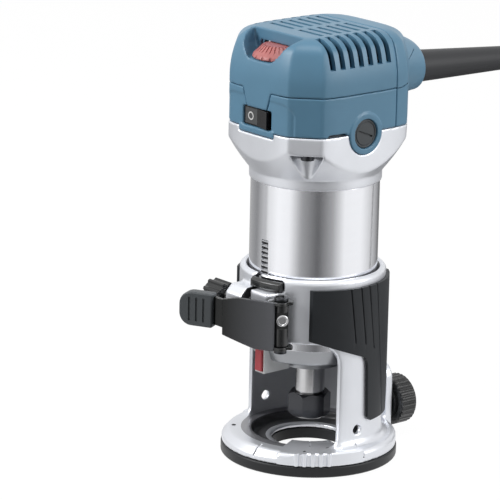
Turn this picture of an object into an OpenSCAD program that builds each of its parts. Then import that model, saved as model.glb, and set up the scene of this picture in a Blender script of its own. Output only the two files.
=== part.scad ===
// Corded trim router: a round motor body clamped in a trimmer base.
// Millimetres, +Z up. The origin is on the spindle axis at the underside of the base plate.
// The front is at -Y and the cord leaves at +Y.

/* [Base] */
// Diameter of the base plate
base_d = 90; // [86:1:110]
// Thickness of the base plate
plate_t = 5.6; // [4:0.2:8]
// Height of the casting's ring above the plate
ring_t = 6.6; // [5:0.2:10]
// Bore of the casting's ring
ring_bore_d = 58; // [48:1:62]
// Thickness of the seat inside the ring
seat_t = 2.4; // [1.6:0.2:4]
// Opening through the base plate and the seat
guide_bore_d = 38; // [30:1:44]
// Height of the front window
window_h = 54.8; // [50:0.2:70]
// Distance of the legs' front faces from the axis
leg_front = 11; // [8:0.5:16]
// Radius between the legs and the sleeve
window_r = 12; // [4:1:20]
// Radius between the legs and the ring
foot_r = 5; // [2:0.5:8]
// Height of the clamping sleeve
sleeve_h = 33; // [31:1:45]
// Wall of the clamping sleeve round the motor
sleeve_wall = 4.5; // [3:0.5:8]
// Width of the slit in the sleeve
slit_w = 3; // [2:0.2:5]
// Free space between the motor body and the legs
leg_gap = 1.7; // [1:0.1:2.2]
// Diameter of the threaded hole in each leg
leg_hole_d = 5; // [4:0.5:6]
// Height of the leg holes above the ring
leg_hole_rise = 8.4; // [6:0.2:20]
// Diameter of the screws of the base plate
plate_screw_d = 4; // [3:0.5:5]
// Thickness of the rubber grips
grip_t = 1.8; // [1:0.2:4]
// Drop of the grips below the sleeve's top
grip_drop = 4.5; // [2:0.5:10]

/* [Clamp] */
// Thickness of each lug
lug_t = 12.5; // [10:0.5:14]
// Reach of the lugs in front of the axis
lug_reach = 46; // [44:0.5:46]
// Drop of the lug tops below the sleeve's top
lug_drop = 7; // [4:0.5:10]
// Diameter of the clamp bolt
bolt_d = 5; // [4:0.5:6]
// Height of the clamp bolt above the window
bolt_rise = 5.5; // [5:0.5:8]
// Radius of the lever's ears
ear_r = 6.2; // [5.5:0.1:7]
// Thickness of the lever's steel
steel_t = 1.8; // [1.2:0.2:2.4]
// Height of the lever's channel
lever_h = 25; // [22:1:28]
// Length of the lever from its pin to the bend
lever_reach = 30; // [26:1:36]
// Angle of the closed lever to the front
lever_angle = 27; // [26:1:32]
// Length of the finger grip
lever_grip_l = 18; // [12:1:24]
// Height of the finger grip
lever_grip_h = 17.5; // [14:0.5:20]
// Thickness of the finger grip
lever_grip_t = 6.5; // [5:0.5:9]
// Diameter of the lever pin
pin_d = 4.6; // [3.6:0.2:5.6]

/* [Depth adjustment] */
// Module of the rack and pinion
gear_module = 0.8; // [0.7:0.1:0.9]
// Teeth on the pinion
pinion_teeth = 12; // [11:1:13]
// Width of the rack
rack_w = 5; // [5:0.5:8]
// Length of the rack
rack_l = 48.5; // [47:0.5:52]
// Diameter of the pinion shaft
pinion_shaft_d = 6; // [4:0.5:7]
// Height of the pinion above the window
pinion_rise = 16; // [15:0.5:20]
// Diameter of the depth knob
depth_knob_d = 13.4; // [12:0.2:20]
// Thickness of the depth knob
depth_knob_t = 14; // [8:0.5:16]

/* [Guide clamp] */
// Width of the guide tab
tab_w = 16; // [12:1:22]
// Thickness of the guide tab
tab_t = 4.6; // [3:0.2:7]
// Gap between the sleeve and the guide tab
tab_gap = 8.8; // [8:0.2:12]
// Height of the guide tab above the ring
tab_h = 27; // [22:1:36]
// Diameter of the guide knob
guide_knob_d = 26; // [20:1:30]
// Thickness of the guide knob
guide_knob_t = 12; // [8:1:18]
// Diameter of the guide stud
stud_d = 6; // [5:0.5:8]

/* [Motor body] */
// Diameter of the motor body
motor_d = 65; // [64:0.5:66]
// Wall of the motor barrel
barrel_wall = 4; // [3.8:0.1:5]
// Bare barrel between the sleeve and the neck
barrel_show = 45; // [40:1:60]
// Drop of the motor's nose below the window's top
nose_drop = 13; // [12:1:16]
// Height of the nose flange
nose_h = 8; // [6:0.5:10]
// Reduction of the nose flange's rim
nose_taper = 2.5; // [1:0.5:4]
// Diameter of the neck ring
neck_d = 66.8; // [66:0.2:68]
// Height of the neck ring
neck_h = 5; // [3:0.5:8]
// Height of the flared bracket
flare_h = 24; // [24:1:30]

/* [Head] */
// Width of the head
head_w = 73; // [72:1:80]
// Reach of the head in front of the axis
head_front = 40; // [39:0.5:44]
// Reach of the head behind the axis
head_rear = 42.5; // [41:0.5:46]
// Squareness of the head's plan
head_square = 4.2; // [3.6:0.1:5]
// Height of the lower housing
house_h = 19.8; // [19:0.2:24]
// Height of the top cover
cover_h = 27.6; // [26:0.2:32]
// Reach of the top cover's shoulders
shoulder_r = 12; // [10:0.5:14]
// Drawing-in of the top cover below its shoulders
head_taper = 2.9; // [1.5:0.1:4]
// Wall of the plastic shells
shell_t = 2.5; // [2:0.1:3]
// Distance of the rear cover's seam behind the axis
rear_seam = 20.5; // [19:0.5:24]
// Number of vents on each side
vent_n = 7; // [5:1:7]
// Pitch of the vents
vent_pitch = 6; // [5:0.5:6]
// Width of a vent
vent_w = 3; // [2:0.2:4]
// Radius of the brush bosses
brush_boss_r = 10.4; // [9:0.2:11]
// Radius of the brush caps
brush_cap_r = 7.4; // [6.6:0.2:8]

/* [Controls] */
// Width of the rocker
rocker_w = 19.2; // [16:0.4:20]
// Height of the rocker
rocker_h = 8.8; // [7:0.2:9.2]
// Diameter of the speed dial
dial_d = 27; // [24:1:28]
// Height of the speed dial
dial_h = 8.4; // [6:0.2:9]
// Width of the shaft lock button
lock_w = 4.6; // [4:0.2:7]
// Travel of the shaft lock button
lock_travel = 3; // [2:0.5:3.5]

/* [Spindle] */
// Diameter of the spindle's collet end
spindle_d = 15; // [14:0.5:16]
// Hexagon of the collet nut across flats
nut_af = 19; // [18.5:0.5:22]
// Height of the collet nut
nut_h = 12.8; // [11:0.2:14]
// Diameter of the shank that the collet holds
shank_d = 6; // [4:0.5:8]
// Radius of the armature core
core_r = 16.6; // [14:0.2:18]
// Radius of the commutator
commutator_r = 11; // [9:0.5:12]

/* [Cord] */
// Diameter of the cord
cord_d = 7.5; // [7:0.5:7.5]
// Diameter of the cord guard at its root
guard_d = 16.8; // [15:0.2:18]
// Free length of the cord guard
guard_l = 84; // [84:1:84]
// Taper of the cord guard's diameter over its length
guard_taper = 5.8; // [4:0.2:7]
// Reach of the cord boss behind the axis
boss_reach = 62; // [58:1:64]
// Radius of the cord boss
boss_r = 12.4; // [11.5:0.1:13.5]

/* [Hidden] */
$fn = 96;
run_gap = 0.05;
seat_gap = 0.05;
slide_gap = 0.08;
part_gap = 0.4;
motor_r = motor_d / 2;
sleeve_r = motor_r + sleeve_wall;
barrel_in_r = motor_r - barrel_wall;

// Levels from the base plate up
z_ring = plate_t + ring_t;
z_win = z_ring + window_h;
z_collar = z_win + sleeve_h;
z_neck = z_collar + barrel_show;
z_flare = z_neck + neck_h;
z_house = z_flare + flare_h;
z_seam = z_house + house_h;
z_top = z_seam + cover_h;
z_nose = z_win - nose_drop;
z_barrel = z_nose + nose_h;
z_bolt = z_win + bolt_rise;
z_pinion = z_win + pinion_rise;
z_brush = z_house - 0.5;

// Rack and pinion
pitch_r = gear_module * pinion_teeth / 2;
rack_pitch = PI * gear_module;
rack_sink = 0.3;
rack_line = motor_r - rack_sink - gear_module;
rack_z0 = z_win + 1;
rack_depth = 3;
pinion_tip_r = pitch_r + 0.7 / 0.8 * gear_module;
pinion_root_r = pitch_r - 0.95 / 0.8 * gear_module;
pinion_y = -(rack_line + pitch_r);

// Clamp
lug_x = slit_w / 2 + lug_t;
pin_x = lug_x + part_gap + ear_r;
pin_set = 7.6;
pin_y = -max(sqrt(pow(sleeve_r + ear_r + part_gap, 2) - pow(pin_x, 2)), lug_reach - pin_set);
z_lever = z_bolt - 6.5;
eye_r = ear_r - steel_t - part_gap;
eye_h = lever_h - 2 * (steel_t + part_gap);
pin_head_h = 1.4;
tongue_z = 8;

// Depth knob stands clear of the sleeve
depth_knob_x = -sqrt(pow(sleeve_r + 0.8, 2) - pow(-pinion_y - depth_knob_d / 2, 2));
pinion_end_x = lug_x + 2;

// Guide clamp
tab_y = sleeve_r + tab_gap;
guide_z = guide_knob_d / 2 + 3.4;

// Head
boss_z = z_seam;
head_a = head_w / 2;
ring_pts = 72;
facet_turn = 46;
facet_share = 0.803;
screw_share = 0.7;
scallop_share = 0.798;
scallop_r = 7.5;
shoulder_h = 9.5;
z_taper = z_seam + 4.2;
bowl_w = 14;
vent_mid = -3;
vent_low = 13.4;
dial_y = -25.6;
dial_z = z_top - 12.6;
recess_r = dial_d / 2 + 1.5;
recess_back = -26;
recess_floor_t = 2;
slot_top = dial_z + 6.8;
switch_y = -(head_front - shell_t) + part_gap;
rocker_z = z_house + 1.5;
rocker_pivot_y = -34.4;
rocker_tilt = -7;
rocker_pin_r = 1.2;
lip_h = 2.5;
lip_w = rocker_w + 6.6;
hub_r = 14;
hub_z = z_house + 8;
hub_top = z_house + 18;
top_bearing_r = 11;
top_bearing_h = 7;
low_bearing_r = 13;
low_bearing_h = 8;

// Spindle
z_nut = z_nose - 34.6;
z_spindle = z_nut + 3;
z_low_bearing = z_nose + 1;
shaft_r = 5;
tail_r = 4;
core_z0 = z_barrel + 24;
core_z1 = core_z0 + 48;
z_commutator = z_brush - 7.5;
z_tail = z_commutator + 15;

// Shaft lock
lock_face = motor_r - 4.9;
lock_lip = 6.4;
lock_wall = 0.8;
lock_floor = z_nose - 6.2;
lock_top = z_barrel - 1.8;
lock_spring_l = 7.7;
lock_head = 4.2;
lock_z = z_nose - 2.7;
lock_rod_r = 1.2;
lock_block_w = lock_w + 2 * (part_gap + lock_wall);
lock_block_y = 17.5;

// Cord guard and cord
guard_tilt = 2.9;
guard_root_y = 50;
guard_r0 = guard_d / 2;
guard_r1 = guard_r0 - guard_taper / 2;
guard_end_l = boss_reach - guard_root_y + guard_l;

// Route of the free cord, from the end of its guard to the start of the coil
guard_end = [0, guard_root_y + guard_end_l * cos(guard_tilt), boss_z - guard_end_l * sin(guard_tilt)];
route_plan = [
    [0, 145.9, 188.9], [0, 153.5, 188.5], [0.4, 161, 187.2], [1.6, 169, 184.6], [4, 177, 180.2],
    [8, 184, 173.2], [13.5, 190, 163.6], [20, 194.4, 151.6], [27, 197, 138], [34, 198.2, 123],
    [40.6, 198.4, 107], [46.4, 198, 91], [51.2, 197.4, 75], [55, 197, 59], [58, 197.4, 43.6],
    [60, 199.6, 29.8], [60.7, 204, 18.4], [60.7, 209.6, 11.2], [60.7, 216, 6.8], [60.7, 223.6, 4.8],
    [60.7, 232, 4.8]
];
route_last = len(route_plan) - 1;
route = [for (i = [0:route_last])
    route_plan[i] + (guard_end - route_plan[0]) * min(1, max(0, (route_last - 2 - i) / (route_last - 3)))];
coil_c = [0, 240];
coil_in_r = 32;
coil_pitch = cord_d + 0.7;
coil_step = cord_d + 0.6;
coil_in_turns = 3.5;
coil_out_turns = 3.6389;
coil_dip = 2;
coil_z = 4.8;
coil_lead = 8;
coil_tail = 24;
loop_rings = 24;
plug_relief = 20;
plug_l = 34;
plug_w = 26;
plug_t = 24;
plug_pin_d = 4.8;
plug_pin_l = 19;
plug_pin_gap = 19;

function mix(a, b, s) = a + (b - a) * s;

// Reach of the head's plan at an angle: a squared oval with flat corners, drawn in by an inset
function head_reach(t, inset) = let (c = abs(cos(t)), s = abs(sin(t)), n = head_square,
    deep = sin(t) < 0 ? head_front : head_rear,
    corner = facet_share * (head_a * cos(facet_turn) + deep * sin(facet_turn)))
    min(pow(pow(c / (head_a - inset), n) + pow(s / (deep - inset), n), -1 / n),
        (corner - inset) / (c * cos(facet_turn) + s * sin(facet_turn)));

// One ring of the head's plan, no wider than a limit
function head_ring(z, inset, limit = head_w) = [for (i = [0:ring_pts - 1])
    let (t = 360 * i / ring_pts, r = min(limit, head_reach(t, inset))) [r * cos(t), r * sin(t), z]];

// Rings of the head from a level up: upright, tapered, then rounded over the shoulders
function head_rings(z0, inset) = let (turn = 16, r = shoulder_r - inset, h = shoulder_h - inset,
    z1 = z_top - inset - h * (1 - sin(turn))) concat([head_ring(z0, inset)],
    [for (s = [0:0.25:1]) head_ring(mix(z_taper, z1, s), inset + head_taper * s * s)],
    [for (f = [30:15:90]) head_ring(z1 + h * (sin(f) - sin(turn)),
        inset + head_taper + r * (cos(turn) - cos(f)))]);

// Rings of the flared bracket, a turned bowl inside the head's plan
function flare_rings() = concat([head_ring(z_neck, 0, neck_d / 2)],
    [for (s = [0:0.125:1]) head_ring(z_flare + s * flare_h, 0, neck_d / 2 + bowl_w * (1 - pow(1 - s, 1.4)))]);

// Closed solid through a stack of rings
module loft(rings) {
    n = len(rings[0]);
    last = len(rings) - 1;
    polyhedron(points = [for (r = rings) each r], faces = concat(
        [[for (i = [0:n - 1]) i]],
        [for (k = [0:last - 1], i = [0:n - 1]) let (j = (i + 1) % n)
            each [[k * n + i, (k + 1) * n + i, (k + 1) * n + j], [k * n + i, (k + 1) * n + j, k * n + j]]],
        [[for (i = [n - 1:-1:0]) last * n + i]]));
}

// Rectangle with round corners
module round_rect(w, h, r) {
    square([w - 2 * r, h], center = true);
    square([w, h - 2 * r], center = true);
    for (x = [-1, 1], y = [-1, 1])
        translate([x * (w / 2 - r), y * (h / 2 - r)])
            circle(r);
}

// Cylinder along X
module rod_x(r, x0, x1, y, z) {
    translate([x0, y, z])
        rotate([0, 90, 0])
            cylinder(r = r, h = x1 - x0);
}

// Cylinder along Y
module rod_y(r, y0, y1, x, z) {
    translate([x, y1, z])
        rotate([90, 0, 0])
            cylinder(r = r, h = y1 - y0);
}

// Box from its two corners
module block(a, b) {
    translate(a)
        cube(b - a);
}

// Tube between two radii
module tube(r_out, r_in, z0, z1) {
    translate([0, 0, z0])
        difference() {
            cylinder(r = r_out, h = z1 - z0);
            translate([0, 0, -1])
                cylinder(r = r_in, h = z1 - z0 + 2);
        }
}

// Places children at the base plate's screws
module at_plate_screws() {
    for (a = [45:90:315])
        rotate([0, 0, a])
            translate([(base_d / 2 + ring_bore_d / 2) / 2, 0, 0])
                children();
}

// Front window of the casting, cut from side to side
module window_cut() {
    far = -base_d;
    translate([0, 0, z_ring])
        rotate([90, 0, 90])
            linear_extrude(height = 2 * base_d, center = true) {
                translate([far, 0])
                    square([-leg_front - foot_r - far, window_h - window_r]);
                translate([far, foot_r])
                    square([-leg_front - far, window_h - window_r - foot_r]);
                translate([far, foot_r])
                    square([-leg_front - window_r - far, window_h - foot_r]);
                translate([-leg_front - foot_r, foot_r])
                    circle(foot_r);
                translate([-leg_front - window_r, window_h - window_r])
                    circle(window_r);
            }
}

// One clamping lug, drawn on the +X side
module lug() {
    z1 = z_collar - lug_drop;
    translate([slit_w / 2, 0, 0])
        rotate([90, 0, 90])
            linear_extrude(height = lug_t)
                polygon([[-motor_r, z_win], [3 - lug_reach, z_win], [-lug_reach, z_win + 3],
                    [-lug_reach, z1 - 4], [4 - lug_reach, z1], [-motor_r, z1]]);
}

// Upright tab with a round top that carries the guide knob
module guide_tab() {
    translate([0, tab_y + tab_t, 0])
        rotate([90, 0, 0])
            linear_extrude(height = tab_t) {
                translate([-tab_w / 2, plate_t])
                    square([tab_w, z_ring + tab_h - tab_w / 2 - plate_t]);
                translate([0, z_ring + tab_h - tab_w / 2])
                    circle(tab_w / 2);
            }
    block([-tab_w / 2, 0, plate_t], [tab_w / 2, tab_y + tab_t, z_ring - 1]);
}

module base_casting() {
    ring_r = base_d / 2 - part_gap;
    color("silver")
        difference() {
            union() {
                translate([0, 0, plate_t])
                    rotate_extrude()
                        polygon([[0, 0], [ring_r, 0], [ring_r, ring_t - 1.6], [ring_r - 1.6, ring_t],
                            [0, ring_t]]);
                translate([0, 0, z_ring - 1])
                    rotate_extrude()
                        polygon([[0, 0], [sleeve_r, 0], [sleeve_r, z_collar - z_ring - 0.5],
                            [sleeve_r - 1.5, z_collar - z_ring + 1], [0, z_collar - z_ring + 1]]);
                lug();
                mirror([1, 0, 0])
                    lug();
                guide_tab();
            }
            translate([0, 0, plate_t - 1])
                cylinder(d = guide_bore_d, h = seat_t + 2);
            translate([0, 0, plate_t + seat_t])
                cylinder(d = ring_bore_d, h = ring_t);
            translate([0, 0, z_ring])
                cylinder(r = motor_r + leg_gap, h = window_h);
            translate([0, 0, z_win - 1])
                cylinder(r = motor_r + slide_gap, h = sleeve_h + 2);
            window_cut();
            block([-slit_w / 2, -lug_reach - 1, z_win - 1], [slit_w / 2, 0, z_collar + 1]);
            rod_x(pinion_tip_r + 0.6, -rack_w / 2 - part_gap, rack_w / 2 + part_gap, pinion_y, z_pinion);
            rod_x(pinion_shaft_d / 2 + run_gap, -sleeve_r, sleeve_r, pinion_y, z_pinion);
            rod_x(bolt_d / 2 + seat_gap, -lug_x - 1, lug_x + 1, pin_y, z_bolt);
            rod_x(leg_hole_d / 2, -base_d, base_d, 0, z_ring + leg_hole_rise);
            rod_y(stud_d / 2 + run_gap, tab_y - 1, tab_y + tab_t + 1, 0, guide_z);
            at_plate_screws()
                translate([0, 0, plate_t - 1])
                    cylinder(d = plate_screw_d + 2 * seat_gap, h = 6);
        }
}

module base_plate() {
    color([0.11, 0.11, 0.12])
        difference() {
            rotate_extrude()
                polygon([[guide_bore_d / 2, 0], [base_d / 2 - 0.8, 0], [base_d / 2, 0.8],
                    [base_d / 2, plate_t - 0.6], [base_d / 2 - 0.6, plate_t], [guide_bore_d / 2, plate_t]]);
            at_plate_screws() {
                translate([0, 0, -1])
                    cylinder(d = plate_screw_d + 2 * seat_gap, h = plate_t + 2);
                translate([0, 0, -1])
                    cylinder(d = 2 * plate_screw_d + 2 * seat_gap, h = 3.4);
            }
        }
}

module plate_screws() {
    color("gray")
        at_plate_screws()
            difference() {
                union() {
                    translate([0, 0, 0.3])
                        cylinder(d = 2 * plate_screw_d, h = 2.1);
                    translate([0, 0, 1])
                        cylinder(d = plate_screw_d, h = plate_t + 3);
                }
                block([-2.6, -0.5, 0], [2.6, 0.5, 1.2]);
                block([-0.5, -2.6, 0], [0.5, 2.6, 1.2]);
            }
}

// Rubber pad on the +X side of the sleeve and leg
module grip() {
    z1 = z_collar - grip_drop;
    low = z_ring + 12.3;
    step = z_win - 7;
    color([0.2, 0.21, 0.22])
        intersection() {
            tube(sleeve_r + seat_gap + grip_t, sleeve_r + seat_gap, low, z1);
            translate([1, 0, 0])
                rotate([90, 0, 90])
                    linear_extrude(height = base_d)
                        polygon([[-25.4, z1], [-25.4, z_win + 2], [-1.5, step], [2.5, step - 1.4],
                            [4.4, step - 5], [5.5, low + 2], [7.5, low], [sleeve_r - 11, low],
                            [sleeve_r - 4, step], [sleeve_r - 4, z1]]);
        }
}

module grip_right() {
    grip();
}

module grip_left() {
    mirror([1, 0, 0])
        grip();
}

module clamp_bolt() {
    color("dimgray")
        difference() {
            union() {
                rod_x(bolt_d / 2, -lug_x - 6, pin_x, pin_y, z_bolt);
                translate([pin_x, pin_y, z_lever + steel_t + part_gap])
                    cylinder(r = eye_r, h = eye_h);
            }
            translate([pin_x, pin_y, z_lever])
                cylinder(r = pin_d / 2 + seat_gap, h = lever_h);
        }
}

module clamp_nut() {
    color("silver")
        translate([-lug_x - 4.6, pin_y, z_bolt])
            rotate([0, 90, 0])
                difference() {
                    cylinder(d = 1.9 * bolt_d, h = 4.5, $fn = 6);
                    translate([0, 0, -1])
                        cylinder(r = bolt_d / 2 + seat_gap, h = 7);
                }
}

module lever_pin() {
    color("silver")
        translate([pin_x, pin_y, 0]) {
            translate([0, 0, z_lever - 2])
                cylinder(d = pin_d, h = lever_h + 4);
            translate([0, 0, z_lever + lever_h + 0.3])
                cylinder(d = pin_d + 2.6, h = pin_head_h);
            translate([0, 0, z_lever - 2])
                cylinder(d = pin_d + 1.8, h = 1.6);
        }
}

// Puts children in the closed lever's frame: X along the lever, Y away from the base
module lever_frame() {
    translate([pin_x, pin_y, z_lever])
        rotate([0, 0, 180 + lever_angle])
            children();
}

// Outline of the lever's bend and the tongue inside its finger grip, seen from above
module lever_tongue(grow = 0) {
    bend = 5;
    tip = lever_reach + bend + lever_grip_l - 1;
    polygon([[lever_reach - 2, ear_r - steel_t - grow], [lever_reach + bend, -steel_t / 2 - grow],
        [tip + grow, -steel_t / 2 - grow], [tip + grow, steel_t / 2 + grow],
        [lever_reach + bend + 0.8, steel_t / 2 + grow], [lever_reach - 1, ear_r + grow]]);
}

module clamp_lever() {
    tongue_h = lever_grip_h - 3;
    color([0.16, 0.16, 0.17])
        lever_frame()
            difference() {
                union() {
                    translate([0, ear_r, 0])
                        rotate([90, 0, 0])
                            linear_extrude(height = steel_t)
                                polygon([[1.5, 0], [12, 0], [lever_reach, 4.5], [lever_reach, lever_h - 2.6],
                                    [lever_reach - 8, lever_h], [1.5, lever_h]]);
                    for (z = [0, lever_h - steel_t])
                        translate([0, 0, z])
                            linear_extrude(height = steel_t) {
                                circle(ear_r);
                                square([5.5, ear_r]);
                            }
                    translate([0, 0, tongue_z])
                        linear_extrude(height = tongue_h)
                            lever_tongue();
                }
                translate([0, 0, -1])
                    cylinder(r = pin_d / 2 + run_gap, h = lever_h + 2);
            }
}

module lever_grip() {
    color([0.13, 0.13, 0.14])
        lever_frame()
            difference() {
                translate([lever_reach + 6 + lever_grip_l / 2, lever_grip_t / 2,
                    tongue_z + lever_grip_h / 2 - 1.5])
                    rotate([90, 0, 0])
                        linear_extrude(height = lever_grip_t)
                            round_rect(lever_grip_l, lever_grip_h, 4);
                translate([0, 0, tongue_z - seat_gap])
                    linear_extrude(height = lever_grip_h - 3 + 2 * seat_gap)
                        lever_tongue(seat_gap);
                for (i = [-1:1])
                    translate([lever_reach + 6 + lever_grip_l / 2 + i * 3.6, lever_grip_t / 2, tongue_z])
                        block([-0.5, -1, 0], [0.5, 1, lever_grip_h - 4]);
            }
}

// Outline of the pinion, a tooth gap facing +X at rest
module pinion_outline() {
    polygon([for (i = [0:pinion_teeth - 1]) let (a = 360 * (i + 0.5) / pinion_teeth, k = gear_module / 0.8)
        for (p = [[pinion_root_r, -0.6 * k], [pinion_tip_r, -0.2 * k], [pinion_tip_r, 0.2 * k],
                [pinion_root_r, 0.6 * k]])
            [p[0] * cos(a) - p[1] * sin(a), p[0] * sin(a) + p[1] * cos(a)]]);
}

module pinion_shaft() {
    color("gray") {
        rod_x(pinion_shaft_d / 2, depth_knob_x - depth_knob_t + 1, pinion_end_x, pinion_y, z_pinion);
        translate([-rack_w / 2, pinion_y, z_pinion])
            rotate([90, 0, 90])
                linear_extrude(height = rack_w)
                    pinion_outline();
    }
}

module depth_knob() {
    r = depth_knob_d / 2;
    color([0.15, 0.15, 0.16])
        translate([depth_knob_x, pinion_y, z_pinion])
            rotate([0, -90, 0])
                difference() {
                    union() {
                        cylinder(r = r, h = depth_knob_t - 2);
                        cylinder(r = r - 2.5, h = depth_knob_t);
                    }
                    for (a = [0:45:315])
                        rotate([0, 0, a])
                            translate([r + 1, 0, -1])
                                cylinder(r = 2.2, h = depth_knob_t + 2, $fn = 32);
                    translate([0, 0, -1])
                        cylinder(r = pinion_shaft_d / 2 + seat_gap, h = depth_knob_t + 0.05);
                }
}

module depth_rack() {
    n = floor(rack_l / rack_pitch);
    k = gear_module / 0.8;
    first = z_pinion - rack_pitch * floor((z_pinion - rack_z0 - 1) / rack_pitch);
    color("gray")
        intersection() {
            translate([-rack_w / 2, 0, 0])
                rotate([90, 0, 90])
                    linear_extrude(height = rack_w)
                        difference() {
                            translate([-motor_r + rack_sink, rack_z0])
                                square([rack_depth, rack_l]);
                            for (i = [-1:n])
                                translate([-rack_line, first + (i + 0.5) * rack_pitch])
                                    polygon([[-gear_module - 1, -1.35 * k], [1 * k, -0.6 * k],
                                        [1 * k, 0.6 * k], [-gear_module - 1, 1.35 * k]]);
                        }
            cylinder(r = motor_r - 0.1, h = z_top);
        }
}

module guide_knob() {
    r = guide_knob_d / 2;
    color([0.1, 0.1, 0.11])
        translate([0, tab_y + tab_t + 1, guide_z])
            rotate([-90, 0, 0])
                difference() {
                    union() {
                        cylinder(r = r - 4, h = 3);
                        translate([0, 0, 1.4])
                            cylinder(r = r, h = guide_knob_t - 1.4);
                    }
                    for (a = [0:15:345])
                        rotate([0, 0, a])
                            translate([r + 0.4, 0, 0])
                                cylinder(r = 1.1, h = guide_knob_t + 1, $fn = 16);
                    translate([0, 0, -1])
                        cylinder(r = stud_d / 2 + seat_gap, h = guide_knob_t - 2);
                }
}

module guide_stud() {
    color("silver")
        rod_y(stud_d / 2, tab_y - 2, tab_y + tab_t + guide_knob_t - 3, 0, guide_z);
}

module motor_barrel() {
    color([0.78, 0.79, 0.8])
        difference() {
            tube(motor_r, barrel_in_r, z_barrel, z_neck);
            block([-rack_w / 2 - seat_gap, -motor_d, rack_z0 - seat_gap],
                [rack_w / 2 + seat_gap, -motor_r + rack_sink + rack_depth + seat_gap,
                    rack_z0 + rack_l + seat_gap]);
        }
}

module nose_flange() {
    hub_out = low_bearing_r + 3;
    color([0.8, 0.81, 0.82])
        difference() {
            rotate_extrude()
                polygon([[spindle_d / 2 + 2.5, z_nose - 6], [hub_out, z_nose - 6], [hub_out, z_nose],
                    [motor_r - nose_taper - 1, z_nose], [motor_r - nose_taper, z_nose + 1],
                    [motor_r - 0.1, z_barrel], [barrel_in_r - 0.1, z_barrel], [hub_out, z_barrel],
                    [hub_out, z_low_bearing + low_bearing_h + 1],
                    [low_bearing_r + seat_gap, z_low_bearing + low_bearing_h + 1],
                    [low_bearing_r + seat_gap, z_low_bearing], [spindle_d / 2 + 2.5, z_low_bearing]]);
            block([-lock_block_w / 2 - seat_gap, -motor_d, lock_floor - seat_gap],
                [lock_block_w / 2 + seat_gap, -lock_block_y + seat_gap, lock_top + seat_gap]);
            rod_y(lock_rod_r + run_gap, -motor_d, 0, 0, lock_z);
        }
}

module low_bearing() {
    color("silver")
        tube(low_bearing_r, spindle_d / 2 - 1.5 + run_gap, z_low_bearing, z_low_bearing + low_bearing_h);
}

module lock_housing() {
    color([0.8, 0.8, 0.78])
        difference() {
            block([-lock_block_w / 2, -lock_face - lock_lip, lock_floor],
                [lock_block_w / 2, -lock_block_y, lock_top]);
            block([-lock_w / 2 - part_gap, -motor_d, lock_floor + lock_wall],
                [lock_w / 2 + part_gap, -lock_face, lock_top + 1]);
            rod_y(lock_rod_r + run_gap, -motor_d, 0, 0, lock_z);
            rod_y(lock_rod_r + 1.4, -lock_face - 1, -lock_face + lock_spring_l + 0.3, 0, lock_z);
        }
}

module lock_button() {
    gap = lock_travel + 0.4;
    color([0.78, 0.2, 0.2]) {
        block([-lock_w / 2, -lock_face - gap - lock_head, lock_floor + lock_wall + part_gap],
            [lock_w / 2, -lock_face - gap, lock_top - part_gap]);
        rod_y(lock_rod_r, -lock_face - gap - 1, -spindle_d / 2 - 0.7 - lock_travel, 0, lock_z);
    }
}

module lock_spring() {
    color("gray")
        difference() {
            rod_y(lock_rod_r + 1, -lock_face - lock_travel - 0.4, -lock_face + lock_spring_l, 0, lock_z);
            rod_y(lock_rod_r + 0.3, -lock_face - lock_travel - 1, -lock_face + lock_spring_l + 1, 0, lock_z);
        }
}

// Places children at the four screws that hold the head on the bracket
module at_head_screws(rear, share = screw_share) {
    y = rear ? head_rear : -head_front;
    for (s = [-1, 1])
        translate([s * head_a * share, y * share, 0])
            children();
}

module motor_bracket() {
    color([0.83, 0.84, 0.85])
        difference() {
            loft(flare_rings());
            translate([0, 0, z_neck - 1])
                cylinder(r = barrel_in_r, h = z_house - z_neck + 2);
            for (s = [0, 1])
                mirror([s, 0, 0])
                    rod_x(brush_boss_r + 0.15, barrel_in_r - 2, head_w, 0, z_brush);
            block([-lip_w / 2 - 0.15, -head_front - 1, z_house - lip_h - 0.15],
                [lip_w / 2 + 0.15, switch_y + 0.1, z_house + 1]);
            for (rear = [false, true]) {
                at_head_screws(rear) {
                    translate([0, 0, z_neck])
                        cylinder(r = 4.2, h = neck_h + 15);
                    translate([0, 0, z_flare])
                        cylinder(r = 2.05, h = flare_h + 1);
                }
                at_head_screws(rear, scallop_share)
                    translate([0, 0, z_neck])
                        cylinder(r = scallop_r, h = neck_h + 15);
            }
        }
}

module head_shell() {
    difference() {
        loft(head_rings(z_house, 0));
        loft(head_rings(z_house - 1, shell_t));
    }
}

// Screw post inside the head
module screw_post() {
    difference() {
        translate([0, 0, z_house])
            cylinder(r = 4.4, h = 12);
        translate([0, 0, z_house - 1])
            cylinder(r = 1.85, h = 12);
    }
}

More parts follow.
